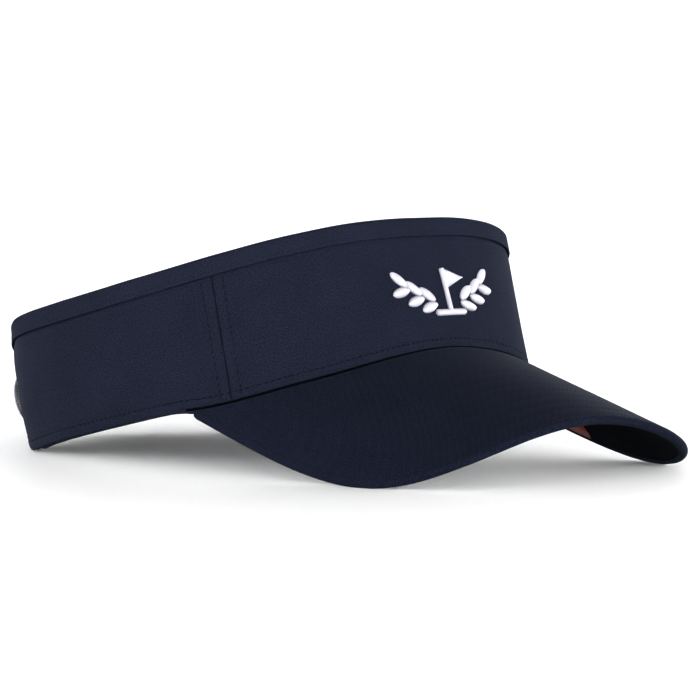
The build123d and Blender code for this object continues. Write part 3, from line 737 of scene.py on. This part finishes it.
def rim_plan(share):
    """Plan outline of the rim, from the right corner (0) over the front (1) to the left (2)."""
    w = np.where(share <= 1.0, share, 2.0 - share)[:, None]
    control = np.array([(CORNER_X, CORNER_Y), (CORNER_X + BRIM_SIDE_FLARE, CORNER_Y - BRIM_SIDE_PULL),
                        (BRIM_FRONT_PULL, -BRIM_FRONT), (0.0, -BRIM_FRONT)])
    basis = np.concatenate([(1 - w) ** 3, 3 * (1 - w) ** 2 * w, 3 * (1 - w) * w * w, w ** 3], 1)
    points = basis @ control
    return np.where(share <= 1.0, -1.0, 1.0) * points[:, 0], points[:, 1]


def evenly(line, count):
    """The line resampled at even steps."""
    run = run_along(line)
    return sampled(line, np.linspace(0.0, run[-1], count), run)


q_rim, s_rim, _ = develop(*rim_plan(np.linspace(0.0, 2.0, 4001)))
RIM = evenly(np.stack([q_rim, s_rim], -1), RIM_SAMPLES)
_ahead = unit(np.gradient(RIM, axis=0))
RIM_IN = np.stack([_ahead[:, 1], -_ahead[:, 0]], -1)
if RIM_IN[RIM_SAMPLES // 2, 1] > 0:
    RIM_IN = -RIM_IN
_root_angles = angle_at(np.linspace(arc_at(BRIM_CORNER_ANGLE), arc_at(-BRIM_CORNER_ANGLE), 1201))
_root = wall(_root_angles, bottom(_root_angles), 0.35)
q_root, s_root, _ = develop(_root[:, 0], _root[:, 1])
ROOT = np.stack([q_root, s_root], -1)
BRIM_COLUMNS = 300
COLUMN_SHARE = np.linspace(0.012, 0.988, BRIM_COLUMNS)


def at_share(line, share):
    return sampled(line, share, np.linspace(0.0, 1.0, len(line)))


rim_point, rim_in = at_share(RIM, COLUMN_SHARE), unit(at_share(RIM_IN, COLUMN_SHARE))
root_point = at_share(ROOT, COLUMN_SHARE)
width = np.linalg.norm(rim_point - root_point, axis=1)


def rim_distance(q, s):
    """Distance from points of the developed brim to its rim."""
    flat = np.stack([q.ravel(), s.ravel()], -1)
    best = np.full(len(flat), 1e9)
    for start in range(0, RIM_SAMPLES, 100):
        gap = np.linalg.norm(flat[:, None, :] - RIM[None, start:start + 100], axis=-1)
        best = np.minimum(best, gap.min(1))
    return best.reshape(q.shape)


def channels(distance):
    """Quilting across the brim: shallow channels at the stitch rows, soft rolls between."""
    total = 0.0
    for row in range(BRIM_ROWS):
        total = total - groove(distance - BRIM_FIRST_ROW - row * BRIM_ROW_PITCH, 0.8)
    return total


def rolled_rim(face, roll_depth):
    """Rows of (inset share of the rim radius, depth) round the rim from top to underside."""
    turn = np.linspace(math.pi / 2, -math.pi / 2, 13)
    middle = BRIM_THICKNESS / 2.0
    return 1.0 - face * np.cos(turn), middle - roll_depth * np.sin(turn)


def brim_rows(depth_top, depth_under, roll_share, roll_depth, strip, upper_rows=72):
    """Developed rows from the root, over the rim, to the inner edge of the underside strip."""
    radius = np.minimum(BRIM_THICKNESS / 2.0, 0.3 * width)
    over = np.linspace(0.0, 1.0, upper_rows)[:-1]
    start = rim_point + rim_in * radius[:, None]
    top_rows = root_point[:, None] + (start - root_point)[:, None] * over[None, :, None]
    inset, roll_depths = rolled_rim(roll_share, roll_depth)
    rim_rows = rim_point[:, None] + rim_in[:, None] * (inset[None, :] * radius[:, None])[..., None]
    reach = np.minimum(strip, 0.75 * width)
    under = np.linspace(0.0, 1.0, 8)[1:]
    back = radius[:, None] + (reach - radius)[:, None] * under[None, :]
    under_rows = rim_point[:, None] + rim_in[:, None] * back[..., None]
    rows = np.concatenate([top_rows, rim_rows, under_rows], 1)
    depths = np.concatenate([np.full(len(over), depth_top), roll_depths, np.full(len(under), depth_under)])
    return rows, np.broadcast_to(depths, rows.shape[:2]).copy()


COVER = 0.8
rows, outer_depth = brim_rows(0.0, BRIM_THICKNESS, 1.0, BRIM_THICKNESS / 2.0, RIM_STRIP)
inner_rows, inner_depth = brim_rows(COVER, BRIM_THICKNESS - COVER, 0.55, BRIM_THICKNESS / 2.0 - COVER,
                                    RIM_STRIP)
upper = outer_depth < BRIM_THICKNESS / 2.0
edge_distance = rim_distance(rows[..., 0], rows[..., 1])
quilt = 0.12 * channels(edge_distance) + 0.07 * ripple(rows[..., 0] / 16.0, rows[..., 1] / 12.0, 2.0)
from_root = np.linalg.norm(rows - root_point[:, None], axis=-1)
quilt = quilt - 0.9 * groove(from_root, 0.9)
pucker = 0.03 * np.sin(COLUMN_SHARE * 900.0)[:, None] * groove(edge_distance - BRIM_FIRST_ROW, 1.6)
flatness = smooth((edge_distance - 0.4) / 2.0)
proud = np.where(upper, quilt * flatness + pucker, 0.0)
last = np.linspace(0.0, 1.0, 8)[1:]
strip_roll = 0.28 * np.sin(math.pi * np.minimum(last * 1.15, 1.0))
outer_depth[:, -len(last):] += strip_roll * np.minimum(width / 12.0, 1.0)[:, None]
outer = brim(rows[..., 0], rows[..., 1], outer_depth - proud)
inner = brim(inner_rows[..., 0], inner_rows[..., 1], inner_depth)
brim_top = make("brim_top_cloth", *two_faced(outer, inner, rows.copy()), BRIM_SHADED_CLOTH, slot="brim_twill",
                replaces=("brim_top_cover",))


def developed_area(line_a, line_b):
    """Area between two developed lines with matching ends."""
    loop = np.concatenate([line_a, line_b[::-1]])
    x, y = loop[:, 0], loop[:, 1]
    return abs(float(np.sum(x * np.roll(y, -1) - y * np.roll(x, -1)))) / 2.0


brim_area = developed_area(RIM, ROOT)
rim_length = float(np.sum(np.linalg.norm(np.diff(RIM, axis=0), axis=1)))
BRIM_FLAT = (float(np.ptp(RIM[:, 0])) + 2.0 * RIM_STRIP, float(np.ptp(RIM[:, 1])) + RIM_STRIP)
declare((brim_top, BRIM_FLAT, brim_area + rim_length * (RIM_STRIP + BRIM_THICKNESS / 2.0)), held="stretched",
        rests_on=["brim_board"])

# The underside cover takes the darkened twill: painted shade under the brim.
UNDER_DEPTHS = (2.7, 3.25)
share = np.linspace(0.0, 1.0, 60)
reach = np.minimum(RIM_STRIP - 0.9, 0.7 * width)
under_edge = rim_point + rim_in * reach[:, None]
rows = root_point[:, None] + (under_edge - root_point)[:, None] * share[None, :, None]
edge_distance = rim_distance(rows[..., 0], rows[..., 1])
quilt = 0.10 * channels(edge_distance)
outer = brim(rows[..., 0], rows[..., 1], UNDER_DEPTHS[1] + quilt)
inner = brim(rows[..., 0], rows[..., 1], UNDER_DEPTHS[0])
brim_under = make("brim_under_cloth", *two_faced(outer, inner, rows.copy()), UNDER_SHADED_CLOTH, slot="under_twill",
                  replaces=("brim_under_cover",))
declare((brim_under, BRIM_FLAT, developed_area(under_edge, root_point)), held="stretched",
        rests_on=["brim_board"])


def brim_stitch_rows(depth, lift, first=0):
    """Concentric stitch lines on one face of the brim."""
    lines = []
    for row in range(first, BRIM_ROWS):
        line = RIM + RIM_IN * (BRIM_FIRST_ROW + row * BRIM_ROW_PITCH)
        order = np.argsort(ROOT[:, 0])
        ahead = line[:, 1] > np.interp(line[:, 0], ROOT[order, 0], ROOT[order, 1]) + 0.8
        inside = np.abs(line[:, 0]) < np.abs(RIM[:, 0]).max() - BRIM_FIRST_ROW * 0.5
        line = line[ahead & inside]
        if len(line) < 10:
            continue
        face = brim(line[:, 0], line[:, 1], depth)
        away = unit(brim(line[:, 0], line[:, 1], depth - lift) - face)
        lines.append((face, away))
    return lines


sew("brim_stitching", brim_stitch_rows(0.10, 1.0), THREAD_BRIM, slot="brim_twill", length=0.7, thread=0.12)
# Underside rows in the darkened thread: painted shade.
sew("under_stitching", brim_stitch_rows(3.22, -1.0, 1), THREAD_UNDER_SHADED, slot="under_twill", length=0.7,
    thread=0.15)

# ---- stitching on the band
hem_arcs = np.linspace(-WING_ARC + 5.0, WING_ARC - 5.0, 3000)
hem_heights = bottom(angle_at(hem_arcs)) + HEM_ROW
rows = [wall_row(hem_arcs, hem_heights, 0.0)]
for side in (1.0, -1.0):
    for offset in (-SEAM_ROW, SEAM_ROW):
        arc = side * (SEAM_ARC + offset)
        here = angle_at(arc)
        heights = np.linspace(float(bottom(here)) + 1.0, float(top(here)) - BINDING_WIDTH - 0.6, 60)
        rows.append(wall_row(np.full(60, arc), heights, 0.06))
sew("panel_stitching", rows, THREAD_NAVY, length=0.6, thread=0.2)

# A near-black cord laid along the brim-to-band crease: painted shade, a dark line standing in for the
# crease's shadow.
CORD_RADIUS = 0.46
root_arcs = np.linspace(float(arc_at(-BRIM_CORNER_ANGLE + 0.8)), float(arc_at(BRIM_CORNER_ANGLE - 0.8)), 420)
root_line = wall(angle_at(root_arcs), bottom(angle_at(root_arcs)) + 0.15, 0.02)
root_up = np.broadcast_to(np.array([0.0, 0.0, 1.0]), root_line.shape)
cord_radii = np.full(len(root_line), CORD_RADIUS)
make_tubes("brim_crease_shade_cord", tubes(root_line[None], root_up[None], cord_radii), CREASE_SHADE_DARK, slot="twill")

tape_arcs = np.linspace(-WING_ARC + 1.5, WING_ARC - 1.5, 3000)
tape_heights = top(angle_at(tape_arcs)) - BINDING_WIDTH + BINDING_ROW
rows = [wall_row(tape_arcs, tape_heights, -0.62), wall_row(tape_arcs, tape_heights, STACK + 0.62)]
for side in (1.0, -1.0):
    arc = side * (WING_ARC + END_OVERHANG - END_BINDING + BINDING_ROW)
    heights = np.linspace(float(bottom(WING_ANGLE)) + 0.8, float(top(WING_ANGLE)) - BINDING_WIDTH, 60)
    rows.append(wall_row(np.full(60, arc), heights, -0.34))
    rows.append(wall_row(np.full(60, arc), heights, STACK + 0.34))
sew("binding_stitching", rows, THREAD_NAVY, slot="tape", length=0.6, thread=0.15)

sweat_arcs = np.linspace(-SWEAT_ARC + 2.0, SWEAT_ARC - 2.0, 2500)
sweat_low = hidden_bottom(angle_at(sweat_arcs)) + 3.4
sweat_high = sweat_top(angle_at(sweat_arcs)) - 2.6
rows = [wall_row(sweat_arcs, sweat_low, 5.95), wall_row(sweat_arcs, sweat_high, 5.95)]
for _, span in LABEL_SPANS:
    first, last = sorted(float(arc_at(a)) for a in span)
    for arc in (first + 1.2, last - 1.2):
        heights = float(bottom(angle_at(arc))) + np.linspace(LABEL_LOW + 1.0, LABEL_HIGH - 1.0, 40)
        rows.append(wall_row(np.full(40, arc), heights, 6.9))
sew("sweatband_stitching", rows, THREAD_NAVY, slot="sweatband", length=0.62)

# ---- embroidery: a pin flag between two sprigs over a ground line
THREAD_STEP = 0.34
SATIN = 0.2


def motif_point(x, y, out):
    """Place on the front panel; x is towards the wearer's left, y up, out away from the cloth."""
    arc = arc_at(-MOTIF_SHIFT) - x
    angle = angle_at(arc)
    proud = panel_relief(arc, MOTIF_HEIGHT + y, None, None)
    return wall(angle, MOTIF_HEIGHT + y, -out - proud)


def satin(starts, ends, lift):
    """Threads laid side by side, each arched over the padding below."""
    starts, ends = np.asarray(starts, float), np.asarray(ends, float)
    share = np.linspace(0.0, 1.0, 9)
    flat = starts[:, None] + (ends - starts)[:, None] * share[None, :, None]
    arch = 1.25 * (1.0 - np.abs(2.0 * share - 1.0) ** 2.1) * np.asarray(lift)[:, None]
    points = motif_point(flat[..., 0], flat[..., 1], arch - 0.1)
    away = unit(motif_point(flat[..., 0], flat[..., 1], arch + 1.0) - points)
    return points, away


strands = []
pole_half, masthead = MOTIF_POLE[0] / 2.0, MOTIF_POLE[1] / 2.0 - 0.1
steps = np.arange(-masthead, masthead, THREAD_STEP)
strands.append(satin([(-pole_half, y - 0.15) for y in steps], [(pole_half, y + 0.15) for y in steps],
                     1.0 + 0.0 * steps))
ground_y, ground_half, ground_round = -MOTIF_POLE[1] / 2.0, MOTIF_GROUND[0] / 2.0, MOTIF_GROUND[1] / 2.0
steps = np.arange(-ground_half + 0.1, ground_half - 0.09, THREAD_STEP)
over = np.clip(np.abs(steps) - (ground_half - ground_round), 0.0, None) / ground_round
cap = np.sqrt(np.clip(1.0 - over ** 2, 0.05, 1.0))
strands.append(satin(np.stack([steps - 0.1, ground_y - ground_round * cap], -1),
                     np.stack([steps + 0.1, ground_y + ground_round * cap], -1), 0.95 * cap))
fly_end, hoist = MOTIF_FLAG
steps = np.arange(pole_half - 0.1, fly_end - 0.2, THREAD_STEP)
fly = (steps - pole_half) / (fly_end - pole_half)
strands.append(satin(np.stack([steps, masthead - hoist * (1.0 - fly / 2.0)], -1),
                     np.stack([steps, masthead - hoist * fly / 2.0], -1), 0.85 * (1.0 - 0.6 * fly)))
for side in (1.0, -1.0):
    for leaf in range(LEAVES_PER_SPRIG):
        x = side * (LEAF_START + LEAF_PITCH * leaf)
        stem_y = LEAF_STEM_LOW + LEAF_STEM_CURVE * x * x
        for row, turn in ((1.0, 38.0), (-1.0, -12.0)):
            spin = math.radians(side * (turn + 2.0 * leaf))
            along = np.array([math.cos(spin), math.sin(spin)])
            over = np.array([-math.sin(spin), math.cos(spin)])
            slant = along * 0.35 * side
            reach = np.arange(-LEAF[0] + 0.12, LEAF[0] - 0.1, THREAD_STEP)
            chord = LEAF[1] * np.sqrt(1.0 - (reach / LEAF[0]) ** 2)
            middle = np.array([x, stem_y + row * LEAF_OFFSET]) + along * reach[:, None]
            half_thread = (over - slant) * chord[:, None]
            strands.append(satin(middle - half_thread, middle + half_thread, 0.25 + 0.85 * chord / LEAF[1]))
strand_radii = SATIN * np.array([0.7, 0.95, 1, 1, 1, 1, 1, 0.95, 0.7])
make_tubes("front_satin_stitch", tubes(*(np.concatenate(part) for part in zip(*strands)), strand_radii),
           THREAD_WHITE, slot="thread_white", replaces=("front_embroidery",))

# ---- closure: strap and tab in one cloth, hook and loop
STRAP_MIDDLE = (STRAP_LOW + STRAP_HIGH) / 2.0
STRAP_HALF = (STRAP_HIGH - STRAP_LOW) / 2.0
CENTRE_STANDOFF = STRAP_STANDOFF + STRAP_THICKNESS / 2.0
ROOT_STANDOFF = 1.35
BOX_TURN = 17.0
HOOK_PITCH = 1.05


def strap_centre_line():
    """Plan of the strap's middle, from its sewn root to the flared tip."""
    turn = np.radians(np.linspace(STRAP_ROOT, -TAB_FLARE_START, 1400))
    ease = smooth((np.degrees(turn) - 14.0) / 8.0)
    radius = REAR_RADIUS + CENTRE_STANDOFF + (ROOT_STANDOFF - CENTRE_STANDOFF) * ease
    main = np.stack([radius * np.sin(turn), REAR_CENTRE_Y + radius * np.cos(turn)], -1)
    start = math.radians(TAB_FLARE_START)
    out_dir = np.array([-math.sin(start), math.cos(start)])
    along = np.array([-math.cos(start), -math.sin(start)])
    hub = np.array([0.0, REAR_CENTRE_Y]) + out_dir * (REAR_RADIUS + CENTRE_STANDOFF + TAB_FLARE_RADIUS)
    curl = np.radians(np.linspace(0.0, TAB_FLARE_ANGLE, 300))[1:, None]
    flare = hub + TAB_FLARE_RADIUS * (np.sin(curl) * along - np.cos(curl) * out_dir)
    return np.concatenate([main, flare])


STRAP_LINE = strap_centre_line()
STRAP_RUN = run_along(STRAP_LINE)
STRAP_LENGTH = float(STRAP_RUN[-1])
_strap_ahead = unit(np.gradient(STRAP_LINE, axis=0))


def strap_point(run, height, out):
    """Point of the strap at a distance from its root, a height and a stand-off from its middle."""
    x, y = (np.interp(run, STRAP_RUN, STRAP_LINE[:, k]) for k in (0, 1))
    tx, ty = (np.interp(run, STRAP_RUN, _strap_ahead[:, k]) for k in (0, 1))
    return np.stack(np.broadcast_arrays(x + ty * out, y - tx * out, height), -1)


def run_at_turn(turn):
    """Distance from the strap's root at a rear angle, positive towards the wearer's left."""
    seen = np.degrees(np.arctan2(STRAP_LINE[:, 0], STRAP_LINE[:, 1] - REAR_CENTRE_Y))
    return float(np.interp(-turn, -seen, STRAP_RUN))


def strap_piece(name, first, last, inset, faces_out, material, roll, body, thin=0.0, relief=None, **facts):
    """Closed strip of the strap between two distances, its far end a half round."""
    radius = STRAP_HALF - inset
    straight = (first + spread(last - first - radius, 0.9, roll))[:-4]
    bend = np.linspace(0.0, math.pi / 2, 26)[1:]
    runs = np.concatenate([straight[straight < last - radius], last - radius + radius * np.sin(bend)])
    runs[-1] = last - 1e-3
    reach = np.clip(runs - (last - radius), 0.0, radius)
    tall = np.sqrt(np.maximum(radius ** 2 - reach ** 2, 1e-4))
    across = 2.0 * spread(2.0 * radius, 0.9, roll) / (2.0 * radius) - 1.0
    run, side = np.meshgrid(runs, across, indexing="ij")
    height = STRAP_MIDDLE + side * tall[:, None]
    edge = np.minimum((1.0 - np.abs(side)) * tall[:, None], last - run)
    round_edge = np.where(run > last - radius,
                          radius - np.hypot(run - (last - radius), height - STRAP_MIDDLE), edge)
    full = rolled(np.minimum(np.maximum(round_edge, 0.0), run - first), roll)
    thick = smooth(run / 8.0) * smooth(round_edge / 3.5 + (run < last - 2.0 * radius))
    pressed = 1.0 - thin * (1.0 - thick)
    middle, half = sum(faces_out) / 2.0, (faces_out[1] - faces_out[0]) / 2.0
    proud = relief(run, height, round_edge) * full if relief else 0.0
    face = middle - half + half * (1.0 - full) + 2.0 * half * full * pressed + proud
    outer = strap_point(run, height, face)
    inner = strap_point(run, height, middle - half * full)
    uv = np.stack([run, height], -1)
    return make(name, *two_faced(outer, inner, uv), material, body=body, **facts)


def strap_relief(run, height, edge):
    return (-0.16 * groove(edge - 2.2, 0.6) + 0.08 * ripple(run / 7.0, height / 6.0, 6.0)
            - 0.12 * groove(run - run_at_turn(BOX_TURN), 0.8))


CLOTH_END = STRAP_LENGTH - TAB_SETBACK
strap = strap_piece("closure_strap_cloth", 0.0, CLOTH_END, 0.0, (-0.7, 0.7), PANEL_CLOTH, 0.6, None,
                    thin=0.45, relief=strap_relief, slot="twill", replaces=("closure_strap", "closure_tab"))
PEEL_HALF_TURN = 1.6
peel_from = place(strap_point(run_at_turn(-PEEL_LINE + PEEL_HALF_TURN), STRAP_MIDDLE, 0.0))
peel_to = place(strap_point(run_at_turn(-PEEL_LINE - PEEL_HALF_TURN), STRAP_MIDDLE, 0.0))
strap_flat = (2.0 * STRAP_HALF, CLOTH_END)
strap_area = strap_flat[0] * strap_flat[1] - (2.0 - math.pi / 2.0) * STRAP_HALF ** 2
declare((strap, strap_flat, strap_area), held="folded", rests_on=["loop_pile_pad"])


def strap_row(run, height, out=0.62):
    face = strap_point(run, height, out)
    return face, unit(strap_point(run, height, out + 1.0) - face)


row_in = 2.2
turned = np.linspace(0.0, math.pi, 60)
far = CLOTH_END - STRAP_HALF
edge_run = np.concatenate([np.linspace(row_in, far, 300), far + (STRAP_HALF - row_in) * np.sin(turned),
                           np.linspace(far, row_in, 300)])
edge_side = np.concatenate([np.ones(300), np.cos(turned), -np.ones(300)])
edge_height = STRAP_MIDDLE + (STRAP_HALF - row_in) * edge_side
rows = [strap_row(edge_run, edge_height)]
box_end = run_at_turn(BOX_TURN)
for cross_run in (row_in, box_end):
    rows.append(strap_row(np.full(40, cross_run), np.linspace(STRAP_LOW + row_in, STRAP_HIGH - row_in, 40)))
for way in (1.0, -1.0):
    rows.append(strap_row(np.linspace(row_in, box_end, 60),
                          STRAP_MIDDLE + way * np.linspace(-1.0, 1.0, 60) * (STRAP_HALF - row_in)))
strap_thread = sew("closure_stitching", rows, THREAD_NAVY, body=None, length=0.62)
for piece in (strap, strap_thread):
    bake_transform(piece)

HOOK_FROM = run_at_turn(-PEEL_LINE - 2.0)
hook_face = -STRAP_THICKNESS / 2.0
strap_piece("hook_pad_tape", HOOK_FROM, STRAP_LENGTH - 0.2, 0.35, (hook_face - 0.6, hook_face + 0.05),
            HOOK_TAPE, 0.2, "tab", slot="hook", replaces=("hook_pad",))


def hooks():
    """Rows of small leaning hooks over the tape."""
    spots = []
    for i, run in enumerate(np.arange(HOOK_FROM + 1.2, STRAP_LENGTH - 1.3, HOOK_PITCH)):
        reach = max(0.0, run - (STRAP_LENGTH - STRAP_HALF))
        tall = math.sqrt(max((STRAP_HALF - 1.3) ** 2 - reach ** 2, 0.0))
        for height in np.arange(-tall, tall + 0.01, HOOK_PITCH):
            spots.append((run + 0.25 * (i % 2), STRAP_MIDDLE + height, 1.0 if i % 2 else -1.0))
    spots = np.array(spots)
    bend = np.linspace(0.0, 1.0, 6)
    out = hook_face - 0.54 - 0.4 * np.sin(bend * 2.2)
    sway = spots[:, 2:3] * 0.32 * (1.0 - np.cos(bend * 2.2))[None, :]
    centres = strap_point(spots[:, :1] + 0.0 * bend, spots[:, 1:2] + sway, out[None, :])
    ups = unit(strap_point(spots[:, :1] + 1.0, spots[:, 1:2] + sway, out[None, :]) - centres)
    return tubes(centres, ups, np.array([0.15, 0.13, 0.12, 0.12, 0.11, 0.08]), sides=5)


make_tubes("hook_pad_hooks", hooks(), HOOK_PLASTIC, body="tab", slot="hook")

loop_span = tuple(float(arc_at(180.0 - turn * ARC_SCALE)) for turn in (LOOP_END, LOOP_START))
loop_low, loop_high = STRAP_LOW + LOOP_INSET, STRAP_HIGH - LOOP_INSET
loop_base = band_sheet("loop_pile_pad", loop_span, level(loop_low), level(loop_high), (-0.5, -0.05),
                       LOOP_PILE, roll=0.3, slot="loop", replaces=("loop_pad",),
                       outside=lambda a, h, lo, hi: 0.08 * np.sin(a * 3.1) * np.sin(h * 2.9))
declare(loop_base, held="laid", rests_on=["side_panel_cloth_right"])


LOOP_COUNT = 1500


def loops():
    """Small arched loops standing on the pad, leaning every way."""
    random = np.random.default_rng(11)
    count = LOOP_COUNT
    arc = random.uniform(loop_span[0] + 0.6, loop_span[1] - 0.6, count)
    height = random.uniform(loop_low + 0.6, loop_high - 0.6, count)
    way = random.uniform(0.0, math.pi, count)
    tall = random.uniform(0.12, 0.3, count)
    turn = np.linspace(0.0, math.pi, 6)
    reach = 0.38 * np.cos(turn)[None, :]
    arcs = arc[:, None] + reach * np.cos(way)[:, None]
    heights = height[:, None] + reach * np.sin(way)[:, None]
    centres = wall(angle_at(arcs), heights, -0.45 - tall[:, None] * np.sin(turn)[None, :])
    ups = unit(np.stack([np.sin(way), np.cos(way), 0.3 + 0.0 * way], -1))[:, None, :] + 0.0 * centres
    return tubes(centres, ups, np.full(6, 0.07), sides=4)


make_tubes("loop_pile_loops", loops(), LOOP_PILE, slot="loop")

# ---- CAD nodes that stay: hidden layers and the sticker
for cad_name, material in (("front_interlining", BUCKRAM), ("sweatband_foam", FOAM), ("brim_board", BOARD),
                           ("under_brim_sticker", STICKER_PAPER)):
    mesh = frame["nodes"][cad_name].data
    mesh.materials.clear()
    mesh.materials.append(material)

# ---- stage, light and camera
FLOOR_SIZE = 40.0
floor_mesh = bpy.data.meshes.new("floor")
corner = FLOOR_SIZE / 2.0
floor_mesh.from_pydata([(-corner, -corner, 0), (corner, -corner, 0), (corner, corner, 0),
                        (-corner, corner, 0)], [], [(0, 1, 2, 3)])
floor_material, _, floor_shader = surface("studio_floor", 0.7, specular=0.1)
floor_shader.inputs["Base Color"].default_value = (0.92, 0.92, 0.92, 1.0)
floor_mesh.materials.append(floor_material)
floor = add_object("floor", floor_mesh)

HORIZON_LIGHT, OVERHEAD_LIGHT = 13.2, 0.02
world = bpy.data.worlds.new("studio")
world.use_nodes = True
sky = world.node_tree
background = sky.nodes["Background"]
background.inputs["Color"].default_value = (1.0, 1.0, 1.0, 1.0)
where = node(sky, "SeparateXYZ", {0: sky.nodes.new("ShaderNodeTexCoord").outputs["Generated"]})
band_light = node(sky, "MapRange", {"Value": where.outputs["Z"]}, interpolation_type="SMOOTHSTEP",
                  From_Min=0.12, From_Max=0.45, To_Min=HORIZON_LIGHT, To_Max=OVERHEAD_LIGHT)
ahead = node(sky, "MapRange", {"Value": where.outputs["Y"]},
             From_Min=-1.0, From_Max=1.0, To_Min=1.15, To_Max=0.85)
shaped = node(sky, "Math", {0: band_light.outputs["Result"], 1: ahead.outputs["Result"]},
              operation="MULTIPLY")
sky.links.new(shaped.outputs[0], background.inputs["Strength"])
bpy.context.scene.world = world


def softbox(name, azimuth, elevation, distance, size, power_watts):
    """Area light aimed at the visor; azimuth 0 stands in front of it, positive to its left."""
    turn, rise = math.radians(azimuth), math.radians(elevation)
    way = np.array([math.sin(turn) * math.cos(rise), -math.cos(turn) * math.cos(rise), math.sin(rise)])
    data = bpy.data.lights.new(name, "AREA")
    data.shape = "DISK"
    data.size = size
    data.energy = power_watts
    light = add_object(name, data)
    light.location = way * distance + np.array([0.0, 0.0, 0.04])
    light.rotation_euler = (math.pi / 2 - rise, 0.0, turn)


softbox("key", -62.0, 38.0, 1.6, 0.9, 4.0)

CAMERA_PLACE = (-1.40569, -1.39942, 0.18114)
CAMERA_HEADING, CAMERA_DIP, CAMERA_ROLL = math.radians(45.325), math.radians(4.035), 0.0139
camera_data = bpy.data.cameras.new("camera")
camera_data.sensor_width = 36.0
camera_data.lens = 265.0
camera_data.clip_start, camera_data.clip_end = 0.05, 60.0
camera = add_object("camera", camera_data)
level_aim = Euler((math.pi / 2 - CAMERA_DIP, 0.0, -CAMERA_HEADING)).to_matrix()
camera.location = CAMERA_PLACE
camera.rotation_euler = (level_aim @ Matrix.Rotation(CAMERA_ROLL, 3, "Z")).to_euler()
bpy.context.scene.camera = camera
bpy.context.scene.view_settings.view_transform = "Standard"
bpy.context.scene.view_settings.gamma = 0.74
